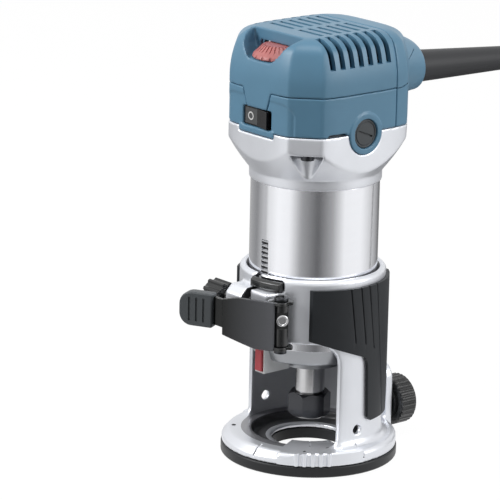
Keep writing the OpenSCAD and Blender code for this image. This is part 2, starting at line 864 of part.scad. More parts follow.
module lower_housing() {
    wide = head_w + 10;
    color([0.36, 0.52, 0.6])
        difference() {
            union() {
                intersection() {
                    head_shell();
                    block([-wide, -wide, z_house], [wide, rear_seam, z_seam]);
                }
                intersection() {
                    difference() {
                        loft([head_ring(z_house - lip_h, 0), head_ring(z_house + 0.5, 0)]);
                        loft([head_ring(z_house - lip_h - 1, shell_t), head_ring(z_house + 1, shell_t)]);
                    }
                    block([-lip_w / 2, -wide, z_house - lip_h], [lip_w / 2, 0, z_house + 0.5]);
                }
                for (s = [0, 1])
                    mirror([s, 0, 0])
                        rod_x(brush_boss_r, head_a - 7, head_a + 0.6, 0, z_brush);
                translate([0, 0, hub_z])
                    cylinder(r = hub_r, h = hub_top - hub_z);
                for (s = [-1, 1])
                    block([-head_a + 1.5, s * 12 - 2, hub_z + 2], [head_a - 1.5, s * 12 + 2, hub_z + 7]);
                at_head_screws(false)
                    screw_post();
            }
            translate([0, 0, hub_top - 1 - top_bearing_h])
                cylinder(r = top_bearing_r + seat_gap, h = top_bearing_h);
            translate([0, 0, hub_z - 1])
                cylinder(r = tail_r + 3, h = hub_top - hub_z);
            for (s = [0, 1])
                mirror([s, 0, 0])
                    rod_x(brush_cap_r + seat_gap, head_a - 10, head_w, 0, z_brush);
            block([-rocker_w / 2 - 1, -wide, rocker_z - 0.5],
                [rocker_w / 2 + 1, switch_y + 1, rocker_z + rocker_h + 0.5]);
            at_head_screws(false)
                translate([0, 0, z_house - 1])
                    cylinder(r = 1.85, h = 12);
        }
}

// Vents over the shoulders and two rows across the top
module vent_cuts() {
    inner = head_a - head_taper - shoulder_r + 0.9;
    for (i = [0:vent_n - 1]) {
        y = vent_mid + (i - (vent_n - 1) / 2) * vent_pitch;
        for (s = [0, 1])
            mirror([s, 0, 0]) {
                block([inner, y - vent_w / 2, z_seam + vent_low], [head_w, y + vent_w / 2, z_top + 1]);
                block([2, y - vent_w / 2 + 0.4, z_top - shell_t - 1],
                    [inner - 3, y + vent_w / 2 - 0.4, z_top + 1]);
            }
    }
}

module top_cover() {
    wide = head_w + 10;
    color([0.38, 0.55, 0.63])
        difference() {
            union() {
                difference() {
                    intersection() {
                        head_shell();
                        block([-wide, -wide, z_seam], [wide, rear_seam, z_top]);
                    }
                    vent_cuts();
                }
                intersection() {
                    loft(head_rings(z_house, 0.5));
                    union() {
                        block([-recess_r - 2, recess_back, slot_top], [recess_r + 2, recess_back + 2, z_top]);
                        difference() {
                            translate([0, recess_back, dial_z - recess_floor_t - 0.4])
                                cylinder(r = recess_r + 2, h = z_top - dial_z);
                            translate([0, recess_back, dial_z - 0.4])
                                cylinder(r = recess_r, h = z_top);
                            block([-wide, recess_back, dial_z - 0.4], [wide, wide, z_top]);
                        }
                    }
                }
            }
            intersection() {
                translate([0, recess_back, dial_z - 0.4])
                    cylinder(r = recess_r, h = z_top);
                block([-wide, -wide, z_house], [wide, recess_back, z_top + 1]);
            }
            translate([0, dial_y, dial_z - recess_floor_t - 2])
                cylinder(r = 3 + run_gap, h = 6);
        }
}

// One ring of the cord boss, from inside the head to its end
function boss_ring(s) = let (wide = boss_r + 12 * pow(1 - s, 1.3), tall = boss_r + 7 * pow(1 - s, 0.8),
    z = boss_z + 4 * pow(1 - s, 0.6))
    [for (i = [0:35]) [wide * cos(10 * i), mix(head_rear - 8, boss_reach, s), z - tall * sin(10 * i)]];

module rear_cover() {
    wide = head_w + 10;
    color([0.36, 0.52, 0.6])
        difference() {
            union() {
                intersection() {
                    head_shell();
                    block([-wide, rear_seam, z_house], [wide, wide, z_top]);
                }
                difference() {
                    loft([for (s = [0, 0.4, 0.65, 0.85, 1]) boss_ring(s)]);
                    loft(head_rings(z_house - 1, shell_t));
                }
                block([-14, head_rear - 7, z_house + 9], [14, head_rear - shell_t + 1, z_house + 12]);
                for (s = [-1, 1])
                    translate([s * 9, head_rear - 5, z_house + 10])
                        cylinder(r = 2.2, h = boss_z + cord_d / 2 - z_house - 10.05);
                at_head_screws(true)
                    screw_post();
            }
            rod_y(cord_d / 2 + 0.3, head_rear - shell_t - 1, guard_root_y + 1, 0, boss_z);
            translate([0, guard_root_y, boss_z])
                rotate([-90 - guard_tilt, 0, 0])
                    translate([0, 0, -seat_gap])
                        cylinder(r = guard_r0 + seat_gap, h = boss_reach);
            at_head_screws(true)
                translate([0, 0, z_house - 1])
                    cylinder(r = 1.85, h = 12);
        }
}

module housing_screws() {
    color("dimgray")
        for (rear = [false, true])
            at_head_screws(rear) {
                translate([0, 0, z_neck + neck_h + 12])
                    difference() {
                        cylinder(r = 3.4, h = 3);
                        translate([0, 0, -1])
                            cylinder(r = 1.5, h = 2.5, $fn = 6);
                    }
                translate([0, 0, z_neck + neck_h + 14])
                    cylinder(r = 1.8, h = flare_h - 14 + 10);
            }
}

module field_core() {
    color("slategray")
        difference() {
            tube(barrel_in_r - seat_gap, core_r + 0.8, core_z0, core_z1);
            for (s = [-1, 1])
                translate([0, s * (barrel_in_r - 4.5), core_z0 - 1])
                    cylinder(r = 2.2, h = core_z1 - core_z0 + 2);
        }
}

module field_coils() {
    color([0.6, 0.33, 0.16])
        for (z = [core_z0 - 8, core_z1], a = [0, 180])
            rotate([0, 0, a - 65])
                rotate_extrude(angle = 130)
                    translate([core_r + 2, z])
                        square([barrel_in_r - core_r - 4, 8]);
}

module air_baffle() {
    color([0.25, 0.25, 0.26])
        tube(barrel_in_r - seat_gap, core_r + 4, core_z0 - 11, core_z0 - 8.4);
}

module armature_shaft() {
    color("lightgray")
        rotate_extrude()
            polygon([[shank_d / 2 + 2.05, z_spindle], [spindle_d / 2 - 0.6, z_spindle],
                [spindle_d / 2 - 0.6, z_nut + nut_h + 0.5], [spindle_d / 2, z_nut + nut_h + 0.5],
                [spindle_d / 2, z_low_bearing - 0.3], [spindle_d / 2 - 1.5, z_low_bearing - 0.3],
                [spindle_d / 2 - 1.5, z_low_bearing + low_bearing_h], [shaft_r, z_low_bearing + low_bearing_h],
                [shaft_r, z_tail], [tail_r, z_tail], [tail_r, hub_top - 1.2], [0, hub_top - 1.2],
                [0, z_spindle + 24], [shank_d / 2 + 2.05, z_spindle + 24]]);
}

module armature_core() {
    color("slategray")
        difference() {
            tube(core_r, shaft_r + seat_gap, core_z0, core_z1);
            for (a = [0:30:330])
                rotate([0, 0, a])
                    block([core_r - 6, -0.9, core_z0 - 1], [core_r + 1, 0.9, core_z1 + 1]);
        }
}

module armature_windings() {
    color([0.62, 0.34, 0.16]) {
        tube(core_r - 2, shaft_r + 0.6, core_z0 - 7, core_z0);
        tube(core_r - 2, shaft_r + 0.6, core_z1, core_z1 + 7);
    }
}

module commutator() {
    color([0.72, 0.45, 0.2])
        difference() {
            tube(commutator_r, shaft_r + seat_gap, z_commutator, z_commutator + 14.5);
            for (a = [0:15:345])
                rotate([0, 0, a])
                    block([commutator_r - 1, -0.25, z_commutator - 1],
                        [commutator_r + 1, 0.25, z_commutator + 16]);
        }
}

module cooling_fan() {
    z0 = z_barrel + 3;
    color([0.2, 0.2, 0.22]) {
        tube(9, shaft_r + seat_gap, z0, z0 + 8);
        tube(barrel_in_r - 1.5, 8.9, z0 + 6.4, z0 + 8);
        for (a = [0:30:330])
            rotate([0, 0, a])
                rotate([0, 0, 12])
                    block([8.8, -0.7, z0 + 0.4], [barrel_in_r - 2.5, 0.7, z0 + 6.5]);
    }
}

module top_bearing() {
    color("silver")
        tube(top_bearing_r, tail_r + run_gap, hub_top - 1 - top_bearing_h, hub_top - 1);
}

module brush_holders() {
    color("darkgoldenrod")
        for (s = [0, 1])
            mirror([s, 0, 0])
                difference() {
                    rod_x(brush_cap_r - 1.2, commutator_r + 2, head_a - 3.5, 0, z_brush);
                    block([0, -2.6, z_brush - 4.1], [head_w, 2.6, z_brush + 4.1]);
                }
}

module carbon_brushes() {
    color([0.12, 0.12, 0.13])
        for (s = [0, 1])
            mirror([s, 0, 0])
                block([commutator_r + 0.3, -2.5, z_brush - 4], [commutator_r + 13, 2.5, z_brush + 4]);
}

module brush_springs() {
    color("gray")
        for (s = [0, 1])
            mirror([s, 0, 0])
                difference() {
                    rod_x(2.4, commutator_r + 13, head_a - 3.5, 0, z_brush);
                    rod_x(1.6, commutator_r + 12, head_a - 3, 0, z_brush);
                }
}

module brush_caps() {
    color([0.2, 0.2, 0.21])
        for (s = [0, 1])
            mirror([s, 0, 0])
                difference() {
                    rod_x(brush_cap_r, head_a - 3.4, head_a - 0.2, 0, z_brush);
                    block([head_a - 1.6, -0.9, z_brush - brush_cap_r - 1],
                        [head_a + 1, 0.9, z_brush + brush_cap_r + 1]);
                }
}

module switch_body() {
    color([0.13, 0.13, 0.14])
        difference() {
            block([-rocker_w / 2 - 2.6, switch_y, z_house + 0.2],
                [rocker_w / 2 + 2.6, switch_y + 17, rocker_z + rocker_h + 2]);
            block([-rocker_w / 2 - 1.2, switch_y - 1, rocker_z - part_gap],
                [rocker_w / 2 + 1.2, switch_y + 6.5, rocker_z + rocker_h + part_gap]);
            translate([0, rocker_pivot_y, rocker_z - 0.9])
                cylinder(r = rocker_pin_r + run_gap, h = rocker_h + 1.8);
        }
}

module rocker() {
    w = rocker_w / 2;
    rocker_face = -head_front - rocker_pivot_y + 0.2;
    color([0.24, 0.25, 0.26])
        translate([0, rocker_pivot_y, rocker_z])
            rotate([0, 0, rocker_tilt]) {
                linear_extrude(height = rocker_h)
                    polygon([[-w, rocker_face], [0, rocker_face + 1], [w, rocker_face], [w - 1, -2.4], [2, 1.8],
                        [-2, 1.8], [1 - w, -2.4]]);
                translate([0, 0, -0.6])
                    cylinder(r = rocker_pin_r, h = rocker_h + 1.2);
            }
}

module dial_wheel() {
    r = dial_d / 2;
    color([0.8, 0.36, 0.36])
        difference() {
            translate([0, dial_y, 0])
                rotate_extrude()
                    polygon([[0, hub_top + 8.4], [3, hub_top + 8.4], [3, dial_z], [r - 0.6, dial_z],
                        [r, dial_z + 0.6], [r - 0.6, dial_z + 2], [r - 5, dial_z + dial_h - 2.1],
                        [0, dial_z + dial_h - 2.1]]);
            for (a = [0:20:340])
                translate([0, dial_y, dial_z + 2])
                    rotate([0, 0, a])
                        translate([r + 0.2, 0, -2.5])
                            cylinder(r = 0.9, h = dial_h, $fn = 16);
        }
}

module speed_controller() {
    color([0.1, 0.28, 0.18])
        block([-19, -recess_r - 19, hub_top], [19, 13, hub_top + 2]);
    color([0.15, 0.15, 0.16]) {
        block([-8, dial_y - 7, hub_top + 1.9], [8, dial_y + 7, hub_top + 8]);
        block([-16, -12, hub_top + 1.9], [-4, 8, hub_top + 9]);
        block([2, -14, hub_top + 1.9], [15, 9, hub_top + 6]);
    }
}

module cord_clamp() {
    z = boss_z + cord_d / 2;
    color([0.14, 0.14, 0.15])
        difference() {
            block([-12, head_rear - 8.5, z], [12, head_rear - shell_t - 0.5, z + 3]);
            for (s = [-1, 1])
                translate([s * 9, head_rear - 5, z - 1])
                    cylinder(r = 1.4, h = 6);
        }
}

module cord_clamp_screws() {
    z = boss_z + cord_d / 2;
    color("silver")
        for (s = [-1, 1])
            translate([s * 9, head_rear - 5, z]) {
                translate([0, 0, 0.05])
                    cylinder(r = 1.35, h = 3.5);
                translate([0, 0, 3.05])
                    cylinder(r = 2, h = 1.8);
            }
}

module cord_guard() {
    color([0.14, 0.15, 0.16])
        union() {
            translate([0, guard_root_y, boss_z])
                rotate([-90 - guard_tilt, 0, 0])
                    rotate_extrude()
                        polygon([[0, 0], [guard_r0, 0], [guard_r0, boss_reach - guard_root_y + 2],
                            [guard_r1, guard_end_l], [0, guard_end_l]]);
            rod_y(cord_d / 2, head_rear - 8, guard_root_y + 1, 0, boss_z);
        }
}

function unit(v) = v / norm(v);
function tangent(p, i) = unit(p[min(i + 1, len(p) - 1)] - p[max(i - 1, 0)]);

// Tube through a list of points, its sides counted from a level direction across the tube
module cord_tube(p, r, sides) {
    n = len(p);
    rings = [for (i = [0:n - 1])
        let (t = tangent(p, i), flat = unit([t[1], -t[0], 0]), up = cross(t, flat))
        [for (k = [0:sides - 1])
            let (a = 360 * (k + 0.5) / sides)
            p[i] + r * (cos(a) * flat - sin(a) * up)]];
    polyhedron(points = [for (q = rings) each q], faces = concat(
        [for (k = [1:sides - 2]) [0, k, k + 1]],
        [for (i = [0:n - 2], k = [0:sides - 1]) let (j = (k + 1) % sides)
            each [[i * sides + k, (i + 1) * sides + k, (i + 1) * sides + j],
                [i * sides + k, (i + 1) * sides + j, i * sides + j]]],
        [for (k = [1:sides - 2]) [(n - 1) * sides, (n - 1) * sides + k + 1, (n - 1) * sides + k]]));
}

module cord() {
    color([0.12, 0.12, 0.13])
        cord_tube(route, cord_d / 2, 10);
}

// Radius and height of the coil after a number of turns from its start
function coil_r(s) = s < coil_in_turns ? coil_in_r + coil_pitch * (coil_in_turns - s)
    : s < coil_in_turns + 0.5 ? coil_in_r - coil_dip * sin(360 * (s - coil_in_turns))
    : coil_in_r + coil_pitch * (s - coil_in_turns - 0.5);
function coil_lift(s) = let (f = min(1, max(0, (s - coil_in_turns) / 0.5))) coil_step * f * f * (3 - 2 * f);
function coil_point(s) = [coil_c[0] + coil_r(s) * cos(360 * s), coil_c[1] + coil_r(s) * sin(360 * s),
    coil_z + coil_lift(s)];
coil_total = coil_in_turns + 0.5 + coil_out_turns;
coil_heading = 360 * coil_total + 90;
coil_end = coil_point(coil_total);
coil_dir = [cos(coil_heading), sin(coil_heading), 0];
coil_loops = [for (k = [0:floor(coil_total * loop_rings)]) coil_point(k / loop_rings)];
coil_path = concat([coil_point(0) - [0, coil_lead, 0]], coil_loops, [coil_end],
    [coil_end + coil_tail * coil_dir]);

// Least gap between turns of the coil, over points more than a quarter turn apart
coil_gap = min([for (i = [0:len(coil_loops) - 1], j = [i + loop_rings / 4:1:len(coil_loops) - 1])
    norm(coil_loops[i] - coil_loops[j])]) - cord_d;
echo(coil_gap = coil_gap);

module cord_coil() {
    color([0.12, 0.12, 0.13])
        cord_tube(coil_path, cord_d / 2, 6);
}

module coil_tie() {
    w = coil_pitch * (coil_in_turns - 0.5) + cord_d + 1.2;
    h = coil_step + cord_d + 0.3;
    color([0.3, 0.3, 0.32])
        translate([coil_c[0], coil_c[1] + coil_in_r + coil_pitch * coil_in_turns / 2, coil_z + coil_step / 2])
            rotate([90, 0, 90])
                linear_extrude(height = 6, center = true)
                    difference() {
                        round_rect(w + 1.4, h + 1.4, 3.7);
                        round_rect(w, h, 3);
                    }
}

// Puts children in the plug's frame: X along the plug, Z up
module plug_frame() {
    translate(coil_end + coil_tail * coil_dir)
        rotate([0, 0, coil_heading])
            children();
}

module plug_body() {
    color([0.1, 0.1, 0.11])
        plug_frame() {
            rotate([0, 90, 0])
                cylinder(r1 = cord_d / 2 + 1, r2 = 7, h = plug_relief + 1);
            translate([plug_relief, 0, 0])
                rotate([90, 0, 90])
                    linear_extrude(height = plug_l)
                        round_rect(plug_w, plug_t, 7);
        }
}

module plug_pins() {
    color("silver")
        plug_frame()
            for (s = [-1, 1])
                translate([plug_relief + plug_l, s * plug_pin_gap / 2, 0])
                    rotate([0, 90, 0]) {
                        cylinder(d = plug_pin_d, h = plug_pin_l - 2);
                        cylinder(d = plug_pin_d - 1.4, h = plug_pin_l);
                    }
}

module collet_cone() {
    color("gray")
        difference() {
            tube(shank_d / 2 + 2, shank_d / 2, z_nut + 1.3, z_spindle + 22);
            for (a = [0, 60, 120])
                rotate([0, 0, a + 30])
                    block([-shank_d, -0.4, z_nut], [shank_d, 0.4, z_nut + 6]);
        }
}

module collet_nut() {
    color([0.16, 0.16, 0.17])
        difference() {
            intersection() {
                translate([0, 0, z_nut])
                    cylinder(d = nut_af / cos(30), h = nut_h, $fn = 6);
                translate([0, 0, z_nut])
                    rotate_extrude()
                        polygon([[0, 0], [nut_af / 2 - 0.6, 0], [nut_af / 2 / cos(30), 1.6],
                            [nut_af / 2 / cos(30), nut_h - 1.6], [nut_af / 2 - 0.2, nut_h], [0, nut_h]]);
            }
            translate([0, 0, z_nut - 1])
                cylinder(r = shank_d / 2 + 1.2, h = nut_h + 2);
            translate([0, 0, z_nut + 1.2])
                cylinder(r = shank_d / 2 + 2 + seat_gap, h = nut_h);
            translate([0, 0, z_spindle - 0.2])
                cylinder(r = spindle_d / 2 - 0.6 + seat_gap, h = nut_h);
        }
}

base_casting();
base_plate();
plate_screws();
grip_left();
grip_right();
clamp_bolt();
clamp_nut();
lever_pin();
clamp_lever();
lever_grip();
pinion_shaft();
depth_knob();
guide_knob();
guide_stud();
motor_barrel();
nose_flange();
depth_rack();
motor_bracket();
lower_housing();
top_cover();
rear_cover();
housing_screws();
field_core();
field_coils();
air_baffle();
low_bearing();
top_bearing();
brush_holders();
carbon_brushes();
brush_springs();
brush_caps();
switch_body();
rocker();
dial_wheel();
speed_controller();
lock_housing();
lock_button();
lock_spring();
armature_shaft();
armature_core();
armature_windings();
commutator();
cooling_fan();
collet_cone();
collet_nut();
cord_clamp();
cord_clamp_screws();
cord_guard();
cord();
cord_coil();
coil_tie();
plug_body();
plug_pins();
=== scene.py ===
"""Looks of a corded trim router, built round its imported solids.

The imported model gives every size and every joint. Visible castings, mouldings and turned parts are
remade here with eased edges and fine detail, and each keeps the place of the solid that it stands for.
Lengths in the classes are millimetres in the model's own frame, and meshes are written in metres.
"""

from __future__ import annotations

import logging
import math
from dataclasses import dataclass
from enum import Enum
from typing import Callable, Iterable, Sequence, Union

import bmesh
import bpy
from mathutils import Matrix, Vector

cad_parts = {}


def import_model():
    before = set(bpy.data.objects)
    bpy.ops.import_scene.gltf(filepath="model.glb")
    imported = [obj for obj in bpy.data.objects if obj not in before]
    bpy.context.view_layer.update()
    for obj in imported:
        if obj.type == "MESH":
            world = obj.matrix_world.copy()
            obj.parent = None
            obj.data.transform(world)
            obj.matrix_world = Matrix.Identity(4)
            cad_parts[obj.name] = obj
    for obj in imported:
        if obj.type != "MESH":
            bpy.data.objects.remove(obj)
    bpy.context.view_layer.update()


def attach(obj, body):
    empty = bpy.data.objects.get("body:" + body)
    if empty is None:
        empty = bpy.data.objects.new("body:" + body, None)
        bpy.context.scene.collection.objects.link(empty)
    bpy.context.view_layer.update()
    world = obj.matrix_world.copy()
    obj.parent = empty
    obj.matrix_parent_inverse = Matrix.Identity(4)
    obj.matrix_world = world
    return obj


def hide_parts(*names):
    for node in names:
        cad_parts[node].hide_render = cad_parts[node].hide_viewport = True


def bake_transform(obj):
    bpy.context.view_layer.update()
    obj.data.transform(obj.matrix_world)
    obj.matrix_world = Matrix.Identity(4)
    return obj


LOG = logging.getLogger("trim_router")
MM = 0.001
UPRIGHT = Matrix.Rotation(math.radians(90.0), 4, "X")
SIDES = (-1, 1)
Point = tuple[float, float, float]
Pair = tuple[float, float]
Quad = tuple[float, float, float, float]
Box = tuple[Point, Point]
Line = Sequence[Pair]
Skin = tuple[float, int]
Colour = tuple[float, float, float]


class Body(str, Enum):
    """Rigid groups that a piece can ride on."""

    BASE = "base"
    LEVER = "lever"
    PINION = "pinion"
    GUIDE = "guide"
    MOTOR = "motor"
    SPINDLE = "spindle"
    ROCKER = "rocker"
    DIAL = "dial"
    LOCK = "lock"


class Axis(Enum):
    """Direction that a profile is spun about or a prism runs along."""

    X = Vector((1.0, 0.0, 0.0))
    Y = Vector((0.0, 1.0, 0.0))
    Z = Vector((0.0, 0.0, 1.0))

    def frame(self) -> Matrix:
        """Find the turn of this axis.

        Returns:
            The turn that takes +Z to it.
        """
        if self is Axis.X:
            return Matrix(((0, 0, 1), (1, 0, 0), (0, 1, 0))).to_4x4()
        if self is Axis.Y:
            return Matrix(((1, 0, 0), (0, 0, 1), (0, -1, 0))).to_4x4()
        return Matrix.Identity(4)


SIDEWAYS = Axis.X.frame()


def linked(name: str, data: bpy.types.ID) -> bpy.types.Object:
    """Make an object and put it into the scene.

    Args:
        name: name of the object.
        data: its mesh, curve, light or camera.

    Returns:
        The object.
    """
    made = bpy.data.objects.new(name, data)
    bpy.context.scene.collection.objects.link(made)
    return made


# Shader graphs


class Value:
    """A shader socket that takes part in Python sums."""

    def __init__(self, graph: "Graph", socket: bpy.types.NodeSocket) -> None:
        """Hold an output socket and the graph that it belongs to."""
        self.graph = graph
        self.socket = socket

    def _math(self, operation: str, first: "Number", second: "Number" = 0.0) -> "Value":
        """Return the result of a new Math node with two operands."""
        return self.graph.node("ShaderNodeMath", {"operation": operation}, {0: first, 1: second})

    def __add__(self, other: "Number") -> "Value":
        """Add."""
        return self._math("ADD", self, other)

    def __radd__(self, other: "Number") -> "Value":
        """Add from the left."""
        return self._math("ADD", other, self)

    def __sub__(self, other: "Number") -> "Value":
        """Subtract."""
        return self._math("SUBTRACT", self, other)

    def __rsub__(self, other: "Number") -> "Value":
        """Subtract from a number."""
        return self._math("SUBTRACT", other, self)

    def __mul__(self, other: "Number") -> "Value":
        """Multiply."""
        return self._math("MULTIPLY", self, other)

    def __rmul__(self, other: "Number") -> "Value":
        """Multiply from the left."""
        return self._math("MULTIPLY", other, self)

    def below(self, limit: float) -> "Value":
        """Return one where this is below a limit."""
        return self._math("LESS_THAN", self, limit)

    def above(self, limit: float) -> "Value":
        """Return one where this is above a limit."""
        return self._math("GREATER_THAN", self, limit)

    def most(self, other: "Number") -> "Value":
        """Return the greater of two values."""
        return self._math("MAXIMUM", self, other)


Number = Union[Value, float]


class Graph:
    """A tree of shader nodes, made through one method."""

    def __init__(self, tree: bpy.types.NodeTree) -> None:
        """Clear the tree of a material or a world and hold it."""
        self.tree = tree
        tree.nodes.clear()

    @classmethod
    def of_material(cls, name: str) -> "Graph":
        """Start the graph of a new material.

        Args:
            name: name of the material.

        Returns:
            Its empty graph.
        """
        made = bpy.data.materials.new(name)
        made.use_nodes = True
        return cls(made.node_tree)

    def node(
        self,
        kind: str,
        settings: dict[str, object] | None = None,
        sockets: dict[int | str, object] | None = None,
        output: int | str = 0,
    ) -> Value:
        """Add one node.

        Args:
            kind: Blender's type name.
            settings: attributes, set first; "stops" holds a ramp's (place, colour) pairs.
            sockets: constants or values for its inputs.
            output: output to return.

        Returns:
            The chosen output.
        """
        made = self.tree.nodes.new(kind)
        for key, value in (settings or {}).items():
            if key == "stops":
                ramp = made.color_ramp
                while len(ramp.elements) < len(value):
                    ramp.elements.new(0.5)
                for element, (place, colour) in zip(ramp.elements, value):
                    element.position = place
                    element.color = (*colour, 1.0)
            else:
                setattr(made, key, value)
        for key, value in (sockets or {}).items():
            self.feed(made.inputs[key], value)
        return Value(self, made.outputs[output] if len(made.outputs) else None)

    def feed(self, socket: bpy.types.NodeSocket, value: object) -> None:
        """Set or link one input.

        Args:
            socket: input socket.
            value: a value to link, or a constant.
        """
        if isinstance(value, Value):
            self.tree.links.new(value.socket, socket)
        elif isinstance(value, (tuple, list)) and socket.type == "RGBA":
            socket.default_value = (*value, 1.0)
        else:
            socket.default_value = value

    def place(self) -> Value:
        """Return the Object coordinates."""
        return self.node("ShaderNodeTexCoord", output="Object")

    def parts(self) -> tuple[Value, Value, Value]:
        """Split the Object coordinates.

        Returns:
            X, Y and Z on their own.
        """
        split = self.node("ShaderNodeSeparateXYZ", sockets={0: self.place()})
        outputs = split.socket.node.outputs
        return Value(self, outputs[0]), Value(self, outputs[1]), Value(self, outputs[2])

    def noise(self, size: float, detail: float = 3.0, stretch: Point = (1.0, 1.0, 1.0)) -> Value:
        """Add noise.

        Args:
            size: grain in millimetres.
            detail: octaves.
            stretch: scale of each axis before the noise.

        Returns:
            Noise round 0.5.
        """
        vector = self.node("ShaderNodeMapping", {}, {"Vector": self.place(), "Scale": stretch})
        return self.node(
            "ShaderNodeTexNoise", {}, {"Vector": vector, "Scale": 1.0 / (size * MM), "Detail": detail}
        )

    def mix(self, share: Number, first: object, second: object) -> Value:
        """Mix two colours.

        Args:
            share: share of the second colour.
            first: first colour.
            second: second colour.

        Returns:
            The mixed colour.
        """
        share_in, first_in, second_in, colour_out = 0, 6, 7, 2
        fed = {share_in: share, first_in: first, second_in: second}
        return self.node("ShaderNodeMix", {"data_type": "RGBA"}, fed, colour_out)

    def bump(self, height: Number, depth: float, strength: float = 1.0) -> Value:
        """Turn a height into a normal.

        Args:
            height: height from 0 to 1.
            depth: depth of the full height in millimetres.
            strength: share of the bump that is used.

        Returns:
            A normal.
        """
        return self.node(
            "ShaderNodeBump", {}, {"Strength": strength, "Distance": depth * MM, "Height": height}
        )

    def finish(self, **sockets: object) -> None:
        """End the graph in one Principled shader, with _ for a space in its inputs' names."""
        self.end(self.principled(**sockets))

    def principled(self, **sockets: object) -> Value:
        """Return a new Principled shader, with _ for a space in its inputs' names."""
        fed = {key.replace("_", " "): value for key, value in sockets.items()}
        return self.node("ShaderNodeBsdfPrincipled", {}, fed)

    def end(self, shader: Value) -> None:
        """Send a shader to the material's output."""
        self.node("ShaderNodeOutputMaterial", {}, {0: shader})

    def seen(self) -> Value:
        """Tell what the camera sees from soft light.

        Returns:
            1 for what is seen straight, mirrored or through glass, and 0 for soft light.
        """
        kinds = ("Is Camera Ray", "Is Glossy Ray", "Is Transmission Ray")
        straight, mirrored, through = (self.node("ShaderNodeLightPath", output=kind) for kind in kinds)
        return straight.most(mirrored).most(through)


# Finishes


@dataclass(frozen=True)
class Finish:
    """A finish with a colour that wanders a little and a grain."""

    name: str
    colour: Colour
    roughness: float = 0.45
    metallic: float = 0.0
    wander: float = 0.06
    patch: float = 14.0
    grain: float = 0.5
    depth: float = 0.02
    rough_wander: float = 0.08
    stretch: Point = (1.0, 1.0, 1.0)
    coat: float = 0.0
    gloss: float = 0.5

    def shade(self, share: float) -> Colour:
        """Return the colour made lighter or darker by a share."""
        return tuple(min(1.0, c * (1.0 + share)) for c in self.colour)

    def material(self) -> bpy.types.Material:
        """Make the material once.

        Returns:
            The material.
        """
        label = f"{self.name}_look"
        if label not in bpy.data.materials:
            self.build(Graph.of_material(label))
        return bpy.data.materials[label]

    def build(self, graph: Graph) -> None:
        """Fill a new material with this finish.

        Args:
            graph: the material's empty graph.
        """
        patch = graph.noise(self.patch, detail=2.0)
        grain = graph.noise(self.grain, detail=4.0, stretch=self.stretch)
        graph.finish(
            Base_Color=self.tint(graph, patch),
            Roughness=self.rough(grain, patch),
            Metallic=self.metallic,
            Specular_IOR_Level=self.gloss,
            Coat_Weight=self.coat,
            Normal=graph.bump(grain, self.depth),
        )

    def cover(self, data: bpy.types.Mesh) -> None:
        """Give a mesh this finish alone."""
        data.materials.clear()
        data.materials.append(self.material())

    def rough(self, *noises: Value) -> Value:
        """Return the roughness with its wander by each noise."""
        return sum(((noise - 0.5) * self.rough_wander for noise in noises), self.roughness)

    def tint(self, graph: Graph, patch: Value) -> Value:
        """Return the colour with its slow wander."""
        return graph.mix(patch, self.shade(-self.wander), self.shade(self.wander))


@dataclass(frozen=True)
class Turned(Finish):
    """Turned metal with fine rings round an upright axis."""

    rings: float = 0.35
    level: Point = (0.02, 0.02, 1.0)

    def build(self, graph: Graph) -> None:
        """Fill a new material with ringed metal.

        Args:
            graph: the material's empty graph.
        """
        rings = graph.noise(self.rings, detail=3.0, stretch=self.level)
        patch = graph.noise(self.patch, detail=2.0)
        graph.finish(
            Base_Color=self.tint(graph, rings),
            Roughness=self.rough(rings, patch),
            Metallic=self.metallic,
            Normal=graph.bump(rings, self.depth),
        )


@dataclass(frozen=True)
class LinedShaded(Finish):
    """A finish with a dark liner inside a round opening about the upright axis, and painted shade in its
    hollows.
    """

    dark: Colour = (0.47, 0.48, 0.51)
    # deep: painted shade on the seat floor, in the collar's throat and on the clamp's slit
    deep: Colour = (0.060, 0.061, 0.066)
    # Painted shade and dark reflection on the ring's bore wall
    bowl_shade: Colour = (0.30, 0.30, 0.32)
    reach: float = 34.75
    legs: Pair = (12.6, 66.8)
    seat: Pair = (29.6, 22.0)
    mouth: Pair = (33.8, 96.0)
    slit: Pair = (1.75, -33.0)

    def build(self, graph: Graph) -> None:
        """Fill a new material with the liner and the painted shade.

        Args:
            graph: the material's empty graph.
        """
        x, y, z = graph.parts()
        square = x * x + y * y
        low, high = (level * MM for level in self.legs)
        reach, wide, narrow, mouth = ((r * MM) ** 2 for r in (self.reach, *self.seat, self.mouth[0]))
        leg = square.below(reach) * z.above(low) * z.below(high)
        bowl = square.below(reach) * square.above(wide) * z.below(low)
        floor = square.below(wide) * square.above(narrow) * z.below(low)
        throat = square.below(mouth) * z.above(self.mouth[1] * MM)
        half, front = (size * MM for size in self.slit)
        slit = x.above(-half) * x.below(half) * y.below(front)
        patch = graph.noise(self.patch, detail=2.0)
        grain = graph.noise(self.grain, detail=4.0)
        # Painted shade and dark reflection on the ring's bore wall
        colour = graph.mix(bowl, self.tint(graph, patch), self.bowl_shade)
        # Painted shade on the seat floor, in the collar's throat and on the slit's wall above the legs
        gap = floor.most(throat).most(slit * z.above(high))
        graph.finish(
            Base_Color=graph.mix(gap, graph.mix(leg, colour, self.dark), self.deep),
            Roughness=self.rough(grain),
            Metallic=self.metallic * (1.0 - leg.most(gap)),
            Normal=graph.bump(grain, self.depth),
        )


@dataclass(frozen=True)
class Toothed(Finish):
    """A finish with painted shade between teeth that face the front."""

    roots: float = 0.0
    # gap: colour of the painted shade between the teeth
    gap: Colour = (0.02, 0.02, 0.02)

    def tint(self, graph: Graph, patch: Value) -> Value:
        """Return the colour with its slow wander, with painted shade behind the roots' plane."""
        _, y, _ = graph.parts()
        return graph.mix(y.above(self.roots * MM), super().tint(graph, patch), self.gap)


